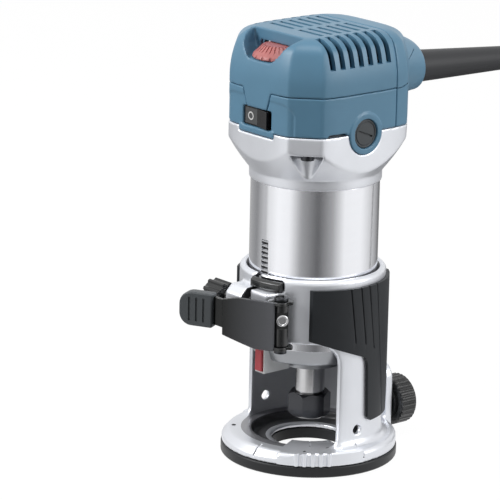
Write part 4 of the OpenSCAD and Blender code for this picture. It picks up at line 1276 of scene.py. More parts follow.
@dataclass
class Head:
    """Bracket, lower housing, top cover, rear cover, speed dial, brush caps and cord guard."""

    half_width: float = 36.5
    front: float = 40.0
    rear: float = 42.5
    square: float = 4.2
    facet_turn: float = math.radians(46.0)
    facet_share: float = 0.803
    count: int = 200
    far: float = 90.0
    over: float = 9.0
    sky: float = 20.0
    skin: Skin = (0.55, 3)
    fine_skin: Skin = (0.5, 2)

    neck: float = 33.4
    neck_gap: float = 0.1
    bowl: float = 14.0
    bowl_steps: int = 24
    bowl_power: float = 1.4
    bore: float = 28.5
    bore_spare: float = 5.0
    z_neck: float = 145.0
    z_flare: float = 150.0
    lip_notch: Point = (13.2, 37.3, 2.75)
    boss_clear: float = 0.2
    boss_cut: Pair = (26.0, 60.0)
    scallop_share: float = 0.798
    scallop_lean: float = 0.81
    scallop_radii: Pair = (0.8, 8.6)
    scallop_levels: Pair = (148.6, 164.6)
    screw_edge: float = 0.35

    z_house: float = 174.0
    z_seam: float = 193.8
    z_taper: float = 198.0
    z_top: float = 221.4
    taper: float = 2.9
    taper_steps: int = 10
    shoulder: Pair = (12.0, 9.5)
    shoulder_turn: float = math.radians(16.0)
    shoulder_turns: tuple[int, int, int] = (22, 91, 4)
    wall: float = 2.5
    wall_drop: float = 2.0
    seam: float = 20.5
    gap: float = 0.14
    lid: float = 5.0

    z_brush: float = 173.5
    boss_radius: float = 10.4
    boss_reach: Pair = (29.5, 37.1)
    cap_radius: float = 7.5
    window: Point = (10.6, 175.0, 184.8)
    window_depth: float = 34.0
    panel: Quad = (25.0, 168.0, 190.3, 7.0)
    panel_start: float = 20.0
    panel_depth: float = 0.45
    tongue_halves: Pair = (7.3, 10.5)
    tongue_lap: float = 1.0
    tongue_rise: float = 3.0
    tongue_start: float = 24.0
    side_notch: tuple[Pair, Pair, Pair] = ((44.0, 12.0), (-23.5, -12.0), (170.0, 175.3))
    lip_half: float = 12.9
    lip_levels: Pair = (-2.5, 1.0)
    lip_bore: Pair = (-4.0, 3.0)
    lip_space: Pair = (-2.4, 0.9)

    dial_place: Point = (0.0, -25.6, 208.8)
    dial_top: float = 215.6
    dial_bore: float = 14.2
    dial_ribs: int = 30
    dial_rib: float = 0.32
    dial_inner: float = 6.5
    dial_foot: float = 1.6
    dial_cut: Point = (1.0, 2.0, 0.5)
    recess_back: float = -26.0
    recess_drop: float = 0.4
    recess_radius: float = 19.0
    recess_lap: float = 2.1
    recess_skin: float = 0.6
    recess_dish: Line = ((14.4, 0.0), (15.4, 0.6), (17.6, 5.5))
    recess_mouth: Pair = (19.2, 3.0)
    recess_floor: float = 2.0

    vent_count: int = 7
    vent_pitch: float = 6.0
    vent_width: float = 3.2
    vent_slim: float = 0.35
    vent_first: float = -21.0
    vent_low: float = 207.2
    vent_inner: float = 22.5
    vent_rib: Pair = (2.0, 3.0)
    vent_depth: float = 7.0

    tail_start: float = 8.0
    tail_end: float = 62.0
    tail_steps: int = 16
    tail_sides: int = 72
    tail_radius: float = 12.4
    tail_grow: Point = (12.0, 7.0, 4.0)
    tail_powers: Point = (1.3, 0.8, 0.6)
    seat: tuple[float, Pair, Pair] = (8.6, (30.0, 194.8), (70.0, 192.8))
    seam_line: Line = (
        (20.0, 193.5), (24.0, 193.5), (30.0, 195.0), (38.0, 198.6), (46.0, 202.6), (54.0, 205.0)
    )
    seam_width: Pair = (-0.1, 0.4)
    seam_sides: Line = ((7.0, 45.0), (-45.0, -7.0))
    guard_edge: float = 0.8

    cap_profile: Line = (
        (0, 0), (7.3, 0), (7.3, 2.9), (6.9, 3.2), (6.5, 3.2), (6.2, 2.7), (5.9, 2.7), (5.6, 3.1), (0, 3.1)
    )
    cap_sink: float = 0.2
    cap_tall: float = 3.2
    cap_slot: Box = ((2.2, -0.42, -5.0), (5.0, 0.42, 5.0))
    cap_turn: float = math.radians(68.0)

    def ring(self, z: float, inset: float = 0.0, limit: float = 90.0) -> list[Point]:
        """Return one ring of the head's plan.

        Args:
            z: level of the ring.
            inset: distance drawn in from the outline.
            limit: largest distance from the axis.

        Returns:
            The ring's points.
        """
        points = []
        nx, ny = math.cos(self.facet_turn), math.sin(self.facet_turn)
        for i in range(self.count):
            t = math.tau * (i + 0.5) / self.count
            c, s = math.cos(t), math.sin(t)
            deep = self.front if s < 0 else self.rear
            across, along = abs(c) / (self.half_width - inset), abs(s) / (deep - inset)
            oval = across ** self.square + along ** self.square
            corner = self.facet_share * (self.half_width * nx + deep * ny) - inset
            r = min(limit, oval ** (-1.0 / self.square), corner / (abs(c) * nx + abs(s) * ny))
            points.append((r * c, r * s, z))
        return points

    def body(self, low: float, inset: float = 0.0) -> Blank:
        """Return the closed head from a level up: upright, drawn in, then rounded over the shoulders.

        Args:
            low: lowest level.
            inset: distance drawn in from the outline.

        Returns:
            The closed head.
        """
        reach, rise = self.shoulder[0] - inset, self.shoulder[1] - inset
        level, turn = math.sin(self.shoulder_turn), math.cos(self.shoulder_turn)
        start = self.z_top - inset - rise * (1 - level)
        rings = [self.ring(low, inset)]
        for k in range(self.taper_steps + 1):
            s = k / self.taper_steps
            rings.append(self.ring(self.z_taper + (start - self.z_taper) * s, inset + self.taper * s * s))
        for k in range(*self.shoulder_turns):
            up, back = math.sin(math.radians(k)) - level, turn - math.cos(math.radians(k))
            rings.append(self.ring(start + rise * up, inset + self.taper + reach * back))
        return Blank.loft(rings)

    def slab(self, low: float, high: float, front: bool) -> Blank:
        """Return the space of one cover.

        Args:
            low: lowest level.
            high: highest level.
            front: in front of the rear seam, and otherwise behind it.

        Returns:
            A box.
        """
        if front:
            return Blank.box((-self.far, -self.far, low), (self.far, self.seam - self.gap, high))
        return Blank.box((-self.far, self.seam + self.gap, low), (self.far, self.far, high))

    def hollow(self) -> Blank:
        """Return the space inside the head's wall."""
        return self.body(self.z_house - self.wall_drop, self.wall)

    def shell(self, space: Blank) -> Blank:
        """Return the head's wall inside a space."""
        return self.body(self.z_house + self.gap).cut(self.hollow()).keep(space)

    def tongue(self, gap: float) -> Blank:
        """Make the tongue of the top cover over the switch.

        Args:
            gap: distance that it is drawn in by.

        Returns:
            The tongue.
        """
        narrow, wide = (half - gap for half in self.tongue_halves)
        low, high, top = self.window[2] - self.tongue_lap, self.z_seam, self.z_seam + self.tongue_rise
        outline = [(-narrow, low), (narrow, low), (wide, high), (wide, top), (-wide, top), (-wide, high)]
        return Blank.prism(outline, self.tongue_start, self.far, UPRIGHT)

    def opening(self) -> Blank:
        """Return the window of the switch."""
        half, low, high = self.window
        return Blank.box((-half, -self.far, low), (half, -self.window_depth, high))

    def across(self, radius: float, first: float, last: float) -> Blank:
        """Return a rod along the brushes' axis, between two places."""
        return Blank.rod(radius, (first, 0, self.z_brush), (last, 0, self.z_brush))

    def caps(self) -> Blank:
        """Return the bore of both brush caps."""
        return self.across(self.cap_radius, -self.far, self.far)

    def bracket(self) -> None:
        """Make the flared bracket under the head."""
        rings = [self.ring(self.z_neck + self.neck_gap, 0.0, self.neck)]
        for k in range(self.bowl_steps + 1):
            s = k / self.bowl_steps
            z = self.z_flare + s * (self.z_house - self.gap - self.z_flare)
            rings.append(self.ring(z, 0.0, self.neck + self.bowl * (1 - (1 - s) ** self.bowl_power)))
        made = Blank.loft(rings)
        low, high = self.z_neck - self.bore_spare, self.z_house + self.bore_spare
        half, deep, drop = self.lip_notch
        made.cut(
            Blank.rod(self.bore, (0, 0, low), (0, 0, high), sides=96),
            Blank.box((-half, -self.far, self.z_house - drop), (half, -deep, high)),
        )
        tools = []
        point, mouth = self.scallop_radii
        low, high = self.scallop_levels
        for s in SIDES:
            tools.append(self.across(self.boss_radius + self.boss_clear, *[s * x for x in self.boss_cut]))
            for deep in (-self.front, self.rear):
                x, y = s * self.half_width * self.scallop_share, deep * self.scallop_share
                start = (x * self.scallop_lean, y * self.scallop_lean, low)
                tools.append(Blank.rod(point, start, (x, y, high), tip=mouth, sides=48))
        made.cut(*tools).soften(*self.skin)
        made.piece(
            "bracket_casting", SILVER, Body.MOTOR, ["motor_bracket"], "silver_paint", crease=180, level=False
        )
        eased("housing_screws", self.screw_edge, "bracket_screws", DARK_STEEL, Body.MOTOR, "dark_steel")

    def lip(self) -> Blank:
        """Make the lip of the lower housing that laps over the bracket.

        Returns:
            The lip.
        """
        low, high = (self.z_house + z for z in self.lip_levels)
        made = Blank.loft([self.ring(low), self.ring(high)])
        made.cut(Blank.loft([self.ring(self.z_house + z, self.wall) for z in self.lip_bore]))
        low, high = (self.z_house + z for z in self.lip_space)
        return made.keep(Blank.box((-self.lip_half, -self.far, low), (self.lip_half, 0, high)))

    def lower_housing(self) -> None:
        """Make the lower housing with its switch window and brush bosses."""
        made = self.shell(self.slab(self.z_house + self.gap, self.z_seam - self.gap, True))
        panel = Blank.prism(arch(*self.panel), self.panel_start, self.far, UPRIGHT)
        made.cut(panel.cut(self.body(self.z_house - self.over, self.panel_depth)))
        made.cut(self.tongue(-self.gap))
        (x, half), (front, back), (low, high) = self.side_notch
        notch = [Blank.box((s * x - half, front, low), (s * x + half, back, high)) for s in SIDES]
        made.cut(self.opening(), self.caps(), *notch)
        made.join(self.lip())
        for s in SIDES:
            made.join(self.across(self.boss_radius, *[s * x for x in self.boss_reach]).cut(self.caps()))
        made.soften(*self.fine_skin)
        made.piece(
            "lower_shell", TEAL, Body.MOTOR, ["lower_housing"], "teal_plastic", crease=180, level=False
        )

    def vents(self) -> list[Blank]:
        """Make the cuts of the vents on both shoulders and across the top.

        Returns:
            The cuts.
        """
        tools = []
        low, high = self.z_top - self.vent_depth, self.z_top + self.over
        rib, land = self.vent_rib
        for k in range(self.vent_count):
            y = self.vent_first + self.vent_pitch * k
            half, slim = self.vent_width / 2, self.vent_width / 2 - self.vent_slim
            for s in SIDES:
                first, last = sorted((s * self.vent_inner, s * self.far))
                tools.append(Blank.box((first, y - half, self.vent_low), (last, y + half, high)))
                first, last = sorted((s * rib, s * (self.vent_inner - land)))
                if k:  # the foremost row stops at the shoulders
                    tools.append(Blank.box((first, y - slim, low), (last, y + slim, high)))
        return tools

    def behind(self, y: float, low: float) -> Blank:
        """Return all the space behind a plane, from a level up."""
        return Blank.box((-self.far, y, low), (self.far, self.far, self.z_top + self.sky))

    def top_cover(self) -> None:
        """Make the top cover with its vents and the scoop for the dial."""
        made = self.shell(self.slab(self.z_seam + self.gap, self.z_top + self.lid, True))
        made.join(self.shell(self.tongue(self.gap)).cut(self.opening()))
        x, y, z = self.dial_place
        floor, back, high = z - self.recess_drop, self.recess_back, self.z_top + self.over
        mouth, rise = self.recess_mouth
        block = Blank.rod(self.recess_radius, (x, back, floor - self.recess_floor), (x, back, high), sides=96)
        block.cut(self.behind(back + self.recess_lap, floor - self.over))
        block.keep(self.body(self.z_house, self.recess_skin))
        dish = [(0, floor), *[(r, floor + up) for r, up in self.recess_dish]]
        dish += [(mouth, self.z_top + rise), (0, self.z_top + rise)]
        scoop = Blank.spun(dish, foot=(x, back, 0))
        scoop.cut(self.behind(back, floor - self.over))
        wheel = Blank.rod(self.dial_bore, (x, y, floor), (x, y, self.dial_top), sides=96)
        made.cut(scoop).join(block.cut(scoop).cut(wheel))
        made.soften(*self.skin).cut(*self.vents())
        made.piece("cover_shell", TEAL, Body.MOTOR, ["top_cover"], "teal_plastic", crease=50, level=False)

    def boss(self) -> Blank:
        """Make the boss of the rear cover, which narrows to the cord guard.

        Returns:
            The boss.
        """
        rings = []
        turns = [math.tau * i / self.tail_sides for i in range(self.tail_sides)]
        for k in range(self.tail_steps + 1):
            s = k / self.tail_steps
            y = self.rear - self.tail_start + s * (self.tail_end - self.rear + self.tail_start)
            wide, tall, rise = (g * (1 - s) ** power for g, power in zip(self.tail_grow, self.tail_powers))
            wide, tall, middle = self.tail_radius + wide, self.tail_radius + tall, self.z_seam + rise
            rings.append([(wide * math.cos(t), y, middle + tall * math.sin(t)) for t in turns])
        return Blank.loft(rings)

    def rear_cover(self) -> None:
        """Make the rear cover with the boss that the cord guard leaves from."""
        made = self.shell(self.slab(self.z_house + self.gap, self.z_top + self.lid, False))
        radius, start, end = self.seat
        seat = Blank.rod(radius, (0, *start), (0, *end))
        boss = self.boss().cut(self.hollow()).cut(seat)
        made.cut(seat).join(boss).soften(*self.skin)
        across, up = self.seam_width
        strip = [*self.seam_line, *[(y + across, z + up) for y, z in reversed(self.seam_line)]]
        made.cut(*[Blank.prism(strip, low, high, SIDEWAYS) for low, high in self.seam_sides])
        made.piece("rear_shell", TEAL, Body.MOTOR, ["rear_cover"], "teal_plastic", crease=50, level=False)

    def brush_covers(self) -> None:
        """Make both brush caps with their slots."""
        pair = []
        for s in SIDES:
            x = s * (self.half_width - self.cap_sink) - s * self.cap_tall
            cap = Blank.spun(self.cap_profile, Axis.X, steps=96)
            cap.cut(Blank.box(*self.cap_slot).moved(Matrix.Rotation(self.cap_turn, 4, "X"))).ease(width=0.15)
            turn = Matrix.Rotation(0 if s > 0 else math.pi, 4, "Z")
            pair.append(cap.moved(Matrix.Translation((x * MM, 0, self.z_brush * MM)) @ turn))
        pair[0].join(pair[1]).piece("brush_covers", DARK_GREY, Body.MOTOR, ["brush_caps"], "dark_plastic")

    def dial(self) -> None:
        """Make the speed dial with ribs on its slope."""
        x, y, z = self.dial_place
        made = Blank.copy_of("dial_wheel")
        top = max(v.co.z for v in made.mesh.verts) / MM
        wide = max(v.co.x for v in made.mesh.verts) / MM
        out, over, under = self.dial_cut
        inner, outer = self.dial_inner - wide, -wide - out
        line = [(inner, top + over), (inner, top - under), (outer, z + self.dial_foot), (outer, top + over)]
        tools = []
        for k in range(self.dial_ribs):
            turn = Matrix.Rotation(math.tau * k / self.dial_ribs, 4, "Z")
            place = Matrix.Translation((x * MM, y * MM, 0)) @ turn @ SIDEWAYS
            tools.append(Blank.prism(line, -self.dial_rib, self.dial_rib, place))
        made.cut(*tools).ease(width=0.12, limit=40.0)
        made.piece("speed_dial", DIAL_RED, Body.DIAL, ["dial_wheel"], "dial_red")

    def build(self) -> None:
        """Make the whole head."""
        self.bracket()
        self.lower_housing()
        self.top_cover()
        self.rear_cover()
        self.dial()
        self.brush_covers()
        eased("cord_guard", self.guard_edge, "cord_sleeve", CORD, Body.MOTOR, "cord_rubber")


# The motor body


@dataclass
class MotorBody:
    """Barrel, nose flange, spindle and what lies inside."""

    barrel_edge: float = 0.3
    flange_edge: float = 0.5
    block_edge: float = 0.4
    button_edge: float = 0.5
    nut_edge: float = 0.3

    def build(self) -> None:
        """Dress the motor body."""
        eased("motor_barrel", self.barrel_edge, "barrel_tube", BARREL, Body.MOTOR, "aluminium")
        eased("nose_flange", self.flange_edge, "nose_casting", NOSE, Body.MOTOR, "aluminium")
        eased("lock_housing", self.block_edge, "lock_block", PALE, Body.MOTOR, "grey_plastic")
        eased("lock_button", self.button_edge, "lock_press", BUTTON_RED, Body.LOCK, "button_red")
        eased("collet_nut", self.nut_edge, "nut_hex", DARK_STEEL, Body.SPINDLE, "dark_steel")
        self.spring()
        dress(RACK, "depth_rack")
        dress(STEEL, "armature_shaft", "low_bearing", "top_bearing", "brush_springs", "cord_clamp_screws")
        dress(DARK_STEEL, "collet_cone")
        dress(IRON, "field_core", "armature_core")
        dress(COPPER, "field_coils", "armature_windings", "commutator")
        dress(BLACK, "air_baffle", "cooling_fan", "cord_clamp")
        dress(BRASS, "brush_holders")
        dress(CARBON, "carbon_brushes")
        dress(BOARD, "speed_controller")

    def spring(self) -> None:
        """Make the return spring of the lock as a piece on no body; in the tool it shortens as its button is
        pressed.
        """
        wire = Blank.copy_of("lock_spring")
        made = wire.piece("press_spring", STEEL, None, ["lock_spring"], "spring_steel")
        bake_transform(made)


# The base


@dataclass
class Grips:
    """Both rubber grips on the base."""

    grip_face: float = 38.85
    grip_edge: float = 0.5
    grooves: Sequence[Quad] = (
        (79.7, 90.0, 84.1, 66.8), (89.0, 89.0, 93.8, 65.3),
        (97.6, 88.0, 103.4, 62.0), (106.9, 86.7, 118.7, 26.0),
    )
    groove: Pair = (0.28, 0.9)
    groove_section: Line = ((-1, -1), (1, -1), (1.8, 1), (-1.8, 1))
    groove_run: float = 0.6
    groove_steps: int = 24

    def build(self) -> None:
        """Make both rubber grips with their slanted grooves."""
        for side, node in ((1, "grip_right"), (-1, "grip_left")):
            tools = []
            for first, high, last, low in self.grooves:
                run = (first - (last - first) * self.groove_run, high + (high - low) * self.groove_run)
                ends = []
                for turn, z in (run, (last, low)):
                    x, y = side * math.sin(math.radians(turn)), -math.cos(math.radians(turn))
                    ends.append(Vector((x * self.grip_face, y * self.grip_face, z)))
                tools.append(self.slit(*ends))
            made = Blank.copy_of(node).ease(self.grip_edge).cut(*tools)
            made.piece(f"{node}_pad", GRIP, Body.BASE, [node], "grip_rubber")

    def slit(self, start: Vector, end: Vector) -> Blank:
        """Make a thin bar that follows the grip's face between two points.

        Args:
            start: first point in millimetres.
            end: last point.

        Returns:
            The bar.
        """
        half, deep = self.groove
        rings = []
        for k in range(self.groove_steps + 1):
            at = start.lerp(end, k / self.groove_steps)
            out = Vector((at.x, at.y, 0)).normalized()
            across = Vector((-out.y, out.x, 0))
            spot = out * self.grip_face + Vector((0, 0, at.z))
            corners = [spot + across * (half * a) + out * (deep * b) for a, b in self.groove_section]
            rings.append([tuple(corner) for corner in corners])
        return Blank.loft(rings)


@dataclass
class Clamp:
    """Clamp lever, its finger grip, pin, bolt and nut, and the dark block in the collar."""

    far: float = 60.0
    spare: float = 1.0
    block: Quad = (-3.0, 15.5, 93.4, 98.2)
    block_wall: Pair = (33.2, 39.0)
    block_slope: Pair = (37.4, 1.2)
    block_space: Pair = (80.0, 120.0)
    block_edge: float = 0.35

    pin: Point = (20.6, -38.427, 66.0)
    pin_edge: float = 0.4
    lever_turn: float = math.radians(207.0)
    finger: tuple[float, float, float, float, float] = (36.0, 54.0, 6.5, 24.0, 3.25)
    finger_corners: Pair = (1.0, 6.5)
    finger_edge: float = 0.9
    finger_slots: tuple[int, float, float] = (3, 4.6, 3.9)
    finger_slot: Point = (0.55, 0.7, 2.6)
    eye_level: float = 81.4
    eye_turn: float = math.radians(-28.0)
    eye_flat: Box = ((3.1, -6, -4.2), (9, 6, 4.2))
    eye_edge: float = 0.25
    disc: Line = (
        (0, 2.4), (2.95, 2.4), (2.95, 3.4), (2.6, 3.62), (2.2, 3.62), (1.9, 3.3), (0, 3.3)
    )

    face: float = 6.2
    thick: float = 1.8
    tall: float = 25.0
    reach: float = 30.0
    bow: Point = (2.0, 7.0, 23.0)
    plate_start: float = 1.5
    plate_steps: int = 16
    plate_corner: Point = (12.0, 4.7, 2.4)
    plate_back: float = 8.0
    plate_space: Pair = (-9.0, 3.0)
    channel_edge: float = 0.8
    tongue: Line = ((27.0, 3.0), (35.0, -0.9), (52.0, -0.9), (52.0, 0.9), (35.8, 0.9), (29.6, 4.2))
    tongue_levels: Pair = (8.0, 22.5)
    tongue_edge: float = 0.4
    ear_steps: int = 9
    ear_end: float = 6.5
    ear_drop: float = 0.9
    ear_radii: Quad = (3.0, 0.4, 3.0, 0.2)
    ear_edge: float = 0.5

    def build(self) -> None:
        """Make the lever, its finger grip, the pin, the bolt, the nut and the block in the collar."""
        frame = Matrix.Translation(Vector(self.pin) * MM) @ Matrix.Rotation(self.lever_turn, 4, "Z")
        self.channel(frame)
        self.finger_grip(frame)
        eased("lever_pin", self.pin_edge, "pivot_pin", DARK_STEEL, Body.BASE, "bright_steel")
        spot = Vector((self.pin[0], self.pin[1], self.eye_level))
        turn = Matrix.Translation(spot * MM) @ Matrix.Rotation(self.eye_turn, 4, "Z")
        eye = Blank.copy_of("clamp_bolt").cut(Blank.box(*self.eye_flat).moved(turn))
        eye.ease(self.eye_edge).piece("eye_bolt", LEVER_BLACK, Body.BASE, ["clamp_bolt"], "black_steel")
        disc = Blank.spun(self.disc, Axis.X, steps=48).moved(turn)
        disc.piece("bolt_face", STEEL, Body.BASE, slot="bright_steel")
        block = self.collar_block(0.0).ease(self.block_edge)
        block.piece("collar_piece", LEVER_BLACK, Body.BASE, slot="black_steel")
        dress(STEEL, "clamp_nut")

    def finger_grip(self, frame: Matrix) -> None:
        """Make the finger grip with its three slots.

        Args:
            frame: place of the closed lever, X along it and Y away from the base.
        """
        near, tip, low, high, half = self.finger
        small, large = self.finger_corners
        corners = [(near, low, small), (near, high, small), (tip, high, large), (tip, low, large)]
        made = Blank.prism(rounded(corners), -half, half, frame @ UPRIGHT).ease(self.finger_edge, segments=3)
        count, first, pitch = self.finger_slots
        wide, deep, end = self.finger_slot
        tools = []
        for k in range(count):
            x = near + first + pitch * k
            tool = Blank.box((x - wide, half - deep, low + end), (x + wide, half + self.spare, high - end))
            tools.append(tool.moved(frame))
        made.cut(*tools).piece("lever_finger", DARK_GREY, Body.LEVER, ["lever_grip"], "black_plastic")

    def channel(self, frame: Matrix) -> None:
        """Make the lever's bowed channel with its two ears and the tongue in the finger grip.

        Args:
            frame: place of the closed lever, X along it and Y away from the base.
        """
        face, thick, tall, end = self.face, self.thick, self.tall, self.reach + self.spare
        bow, start, run = self.bow
        steps = [
            self.plate_start + (self.reach - self.plate_start) * k / self.plate_steps
            for k in range(self.plate_steps + 1)
        ]
        line = [(x, face - bow * (max(0.0, x - start) / run) ** 2) for x in steps]
        plate = Blank.prism([*line, *[(x, y - thick) for x, y in reversed(line)]], 0.0, tall, frame)
        foot, rise, drop = self.plate_corner
        back = self.reach - self.plate_back
        side = [(0.0, 0.0), (foot, 0.0), (end, rise), (end, tall - drop), (back, tall), (0.0, tall)]
        plate.keep(Blank.prism(side, *self.plate_space, frame @ UPRIGHT)).ease(self.channel_edge, segments=3)
        plate.join(Blank.prism(self.tongue, *self.tongue_levels, frame).ease(self.tongue_edge))
        plate.piece("lever_channel", LEVER_PLATE, Body.LEVER, ["clamp_lever"], "black_steel")
        ears = Blank.prism(self.ear(), 0.0, thick, frame).ease(self.ear_edge)
        ears.join(Blank.prism(self.ear(), tall - thick, tall, frame).ease(self.ear_edge))
        ears.piece("lever_ears", LEVER_BLACK, Body.LEVER, slot="black_steel")

    def ear(self) -> list[Pair]:
        """Draw one ear: a quarter round the pin, then three rounded corners.

        Returns:
            Its outline.
        """
        face, end, top = self.face, self.ear_end, self.face - self.ear_drop
        pivot = [(-math.sin(a) * face, -math.cos(a) * face) for a in quarter(self.ear_steps)]
        spots = ((-face, top), (end, top), (end, 0.0), (0.0, -face))
        corners = rounded([(*spot, radius) for spot, radius in zip(spots, self.ear_radii)])
        return pivot + corners[:len(corners) * 3 // 4]

    def collar_block(self, grow: float) -> Blank:
        """Make the dark block in the collar beside the slit.

        Args:
            grow: clearance that it is grown by.

        Returns:
            The block.
        """
        left, right, low, high = self.block
        inner, outer = self.block_wall[0] - grow, self.block_wall[1] + grow
        slope, fall = self.block_slope
        low, side, high = low - grow, high - fall + grow, high + grow
        ring = [(inner, low), (outer, low), (outer, side), (slope + grow, high), (inner, high)]
        below, above = self.block_space
        return Blank.spun(ring).keep(Blank.box((left - grow, -self.far, below), (right + grow, 0, above)))


@dataclass
class Knobs:
    """Depth adjuster and guide clamp."""

    knob_edge: float = 0.5
    wheel: Point = (51.4, 16.4, 13.0)
    wheel_profile: Line = (
        (3.1, 0.0), (9.0, 0.0), (9.0, 1.6), (11.6, 1.6), (13.0, 2.4), (13.0, 11.3), (12.3, 12.0), (7.0, 12.0),
        (6.4, 11.2), (0.0, 11.2), (0.0, 9.0), (3.1, 9.0),
    )
    wheel_ribs: int = 32
    wheel_groove: Quad = (0.95, 0.35, -1.0, 14.0)

    def guide_wheel(self) -> None:
        """Make the guide knob with fine ribs round it."""
        start, middle, radius = self.wheel
        made = Blank.spun(self.wheel_profile, Axis.Y, (0, start, middle))
        groove, out, first, last = self.wheel_groove
        tools = []
        for k in range(self.wheel_ribs):
            t = math.tau * k / self.wheel_ribs
            x, z = (radius + out) * math.cos(t), middle + (radius + out) * math.sin(t)
            tools.append(Blank.rod(groove, (x, start + first, z), (x, start + last, z), sides=12))
        made.cut(*tools).ease(width=0.2, limit=40.0)
        made.piece("guide_wheel", KNOB_BLACK, Body.GUIDE, ["guide_knob"], "black_plastic")

    def build(self) -> None:
        """Make the depth knob and the guide knob."""
        eased("depth_knob", self.knob_edge, "depth_wheel", KNOB_BLACK, Body.PINION, "black_plastic")
        self.guide_wheel()
        dress(STEEL, "pinion_shaft", "guide_stud")


@dataclass
class TrimBase:
    """Base casting with its ring, and the base plate."""

    far: float = 60.0
    bore: float = 32.6
    sleeve: float = 37.0
    rim: float = 44.6
    z_plate: float = 5.6
    z_ring: float = 12.2
    z_collar: float = 100.0
    leg_front: float = 11.0
    skin: Skin = (0.78, 3)
    spare: float = 1.0
    mouth: Pair = (35.2, 2.4)
    mouth_clear: float = 0.2
    block_gap: float = 0.25
    plate_edge: float = 0.5
    fillet: Pair = (3.6, 4.2)
    fillet_steps: int = 10
    foot_clear: float = 0.2
    chamfer: Pair = (40.6, 7.1)
    chamfer_spare: Pair = (1.5, 0.4)
    chamfer_turns: Pair = (-80.0, 28.0)
    lug_cut: Box = ((1.4, -60.0, 84.0), (14.2, -42.6, 110.0))
    wedge_radius: float = 70.0
    wedge_high: float = 30.0
    wedge_steps: int = 4

    seams: Pair = (10.5, 87.6)
    seam_half: float = 0.4
    seam_line: Line = ((-37.6, 11.0), (-41.0, 11.0), (-45.6, 6.7), (-45.6, 14.0), (-37.6, 14.0))
    # Painted shadow at the bottom of each seam groove
    seam_fill_half: float = 0.5
    seam_fill: Line = (
        (-37.7, 10.8), (-41.0, 10.8), (-44.4, 7.6), (-44.4, 8.1), (-41.1, 11.4), (-37.7, 11.4)
    )

    step: Quad = (40.2, 12.8, 28.0, 87.0)
    step_out: float = 0.15
    step_wall: float = 1.6
    step_edge: float = 0.7
    step_sink: Pair = (0.6, 0.5)
    step_slope: float = 0.5
    ramp: Line = ((-9.0, 8.4), (9.0, 13.1), (9.0, 16.0), (-9.0, 16.0))
    ramp_reach: Pair = (36.0, 48.0)
    ramp_turn: float = 9.0
    ridges: tuple[int, float, float, float] = (5, 41.0, 5.3, 1.3)
    ridge_edge: float = 0.4
    ridge_rise: float = 0.1
    land: Point = (22.5, 27.0, 76.0)
    land_out: float = 37.5
    land_levels: Pair = (9.8, 12.25)
    land_cut: float = 20.0
    land_groove: tuple[float, Pair, float, float] = (50.0, (20.0, 31.5), 0.22, 0.3)
    ring_edge: float = 0.3
    # Painted shadow of a small hole in the ring
    hole_shadow: tuple[float, Pair] = (1.1, (-25.8, -28.5))
    hole_shadow_levels: Pair = (-1.0, 0.1)
    # Painted shadow of the pointer notch
    notch_shadow: Line = ((-1.2, 0), (1.2, 0), (0, 2.2))
    notch_shadow_place: Pair = (46.0, 40.5)
    notch_shadow_levels: Pair = (-0.5, 0.12)

    def build(self) -> None:
        """Make the casting, its ring and the base plate."""
        self.casting()
        self.ring()
        eased("base_plate", self.plate_edge, "plate_disc", PLATE, Body.BASE, "black_plastic")
        dress(STEEL, "plate_screws")

    def wedge(self, first: float, last: float) -> Blank:
        """Return a wedge round the axis, over the whole ring.

        Args:
            first: first turn in degrees, from the front towards the lever's side.
            last: last turn.

        Returns:
            The wedge.
        """
        steps = self.wedge_steps
        turns = [math.radians(first + (last - first) * k / steps) for k in range(steps + 1)]
        arc = [(self.wedge_radius * math.sin(t), -self.wedge_radius * math.cos(t)) for t in turns]
        return Blank.prism([(0.0, 0.0), *arc], 0.0, self.wedge_high)

    def spoke(self, turn: float, radii: Pair, half: float, low: float, high: float) -> Blank:
        """Return a radial bar at a turn in degrees, from the front towards the lever's side."""
        bar = Blank.box((-half, -radii[1], low), (half, -radii[0], high))
        return bar.moved(Matrix.Rotation(math.radians(turn), 4, "Z"))

    def foot(self) -> Blank:
        """Make the fillet where the legs stand on the ring.

        Returns:
            The fillet.
        """
        out, rise = self.fillet
        outer, high = self.sleeve + out, self.z_ring + rise
        curve = [(outer - out * math.sin(a), high - rise * math.cos(a)) for a in quarter(self.fillet_steps)]
        inner, low = self.sleeve - self.spare, self.z_ring - self.spare
        made = Blank.spun([(inner, low), (outer, low), *curve, (inner, high)])
        front = self.foot_clear - self.leg_front
        return made.keep(Blank.box((-self.far, front, 0), (self.far, self.far, self.wedge_high)))

    def casting(self) -> None:
        """Make the die casting with soft edges, a wide mouth and rounded feet."""
        reach, drop = self.mouth
        made = Blank.copy_of("base_casting")
        low, high = (0, 0, self.z_collar - drop), (0, 0, self.z_collar + self.spare)
        made.cut(Blank.rod(self.bore - self.mouth_clear, low, high, tip=reach, sides=96))
        made.cut(Clamp().collar_block(self.block_gap))
        edge, level = self.chamfer
        out, top = self.rim + self.chamfer_spare[0], self.z_ring + self.chamfer_spare[1]
        made.cut(Blank.spun([(edge, top), (out, level), (out, top)]).keep(self.wedge(*self.chamfer_turns)))
        foot = self.foot()
        made.cut(Blank.box(*self.lug_cut))
        made.join(foot).soften(*self.skin)
        made.cut(*[self.seam(turn) for turn in self.seams])
        # The finish paints shade inside the bore, the seat, the collar's throat and the slit
        made.piece("base_body", LINED_SHADED, Body.BASE, ["base_casting"], "silver_paint", crease=180, level=False)

    def seam(self, turn: float, fill: bool = False) -> Blank:
        """Return a radial seam along the ring's top and slope: its cut, or the painted shadow at its bottom.
        """
        line, half = (self.seam_fill, self.seam_fill_half) if fill else (self.seam_line, self.seam_half)
        return Blank.prism(line, -half, half, Matrix.Rotation(math.radians(turn), 4, "Z") @ SIDEWAYS)

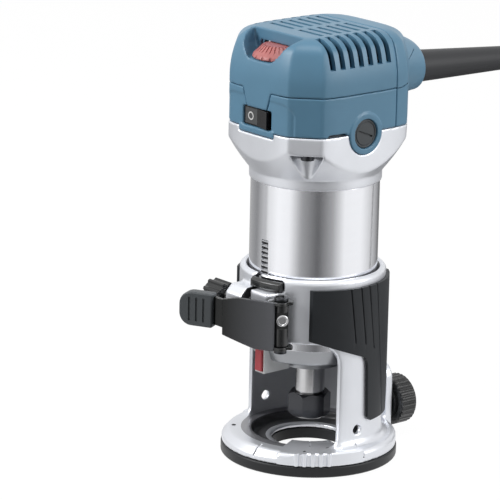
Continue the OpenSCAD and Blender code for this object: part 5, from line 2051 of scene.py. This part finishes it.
    def ring(self) -> None:
        """Make the raised front of the ring, the land inside it and painted shadows in its hole, pointer
        notch and seams.
        """
        self.ring_step()
        self.ring_land()
        # Painted shadows of the small hole, the pointer notch and the seams' bottoms
        radius, spot = self.hole_shadow
        low, high = (self.z_ring + z for z in self.hole_shadow_levels)
        painted_shadows = Blank.rod(radius, (*spot, low), (*spot, high), sides=24)
        turn, out = self.notch_shadow_place
        notch_shadow = Blank.prism(self.notch_shadow, *[self.z_ring + z for z in self.notch_shadow_levels])
        notch_shadow.moved(Matrix.Rotation(math.radians(turn), 4, "Z") @ Matrix.Translation((0, -out * MM, 0)))
        painted_shadows.join(notch_shadow, *[self.seam(turn, True) for turn in self.seams])
        painted_shadows.piece("ring_marks", SHADOW, Body.BASE, slot="dark_steel")

    def ring_step(self) -> None:
        """Make the raised front of the ring with its ramp and its ridges."""
        inner, top, first, last = self.step
        wall = self.rim + self.step_out
        sink, lift = self.step_sink
        low, foot, back = self.z_ring - sink, self.z_plate + lift, wall - self.step_wall
        profile = [(inner, low), (inner + self.step_slope, top), (wall - self.step_edge, top),
                   (wall, top - self.step_edge), (wall, foot), (back, foot), (back, low)]
        made = Blank.spun(profile, steps=180).keep(self.wedge(first, last))
        turn = Matrix.Rotation(math.radians(first + self.ramp_turn), 4, "Z")
        made.cut(Blank.prism(self.ramp, *self.ramp_reach, turn @ UPRIGHT)).ease(self.ring_edge)
        count, start, pitch, radius = self.ridges
        for k in range(count):
            t = math.radians(start + pitch * k)
            x, y = wall * math.sin(t), -wall * math.cos(t)
            ridge = Blank.rod(radius, (x, y, foot), (x, y, top + self.ridge_rise), sides=24)
            made.join(ridge.ease(self.ridge_edge))
        made.piece("ring_step", SILVER, Body.BASE, slot="silver_paint")

    def ring_land(self) -> None:
        """Make the flat land inside the ring's front, with one fine groove."""
        inner, first, last = self.land
        outer, (low, high) = self.land_out, self.land_levels
        made = Blank.spun([(inner, low), (outer, low), (outer, high), (inner, high)], steps=180)
        made.keep(self.wedge(first, last))
        turn, radii, half, deep = self.land_groove
        made.cut(self.spoke(turn, radii, half, self.z_ring - deep, self.land_cut))
        made.ease(self.ring_edge).piece("ring_land", SILVER, Body.BASE, slot="silver_paint")


def main() -> None:
    """Build the scene in order."""
    logging.basicConfig(level=logging.INFO, format="%(name)s: %(message)s")
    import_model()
    for part in (
        Studio(), Cord(), Head(), Switch(), MotorBody(), TrimBase(), Grips(), Clamp(), Knobs(),
    ):
        part.build()
        LOG.info("built %s", type(part).__name__)


if __name__ == "__main__":
    main()
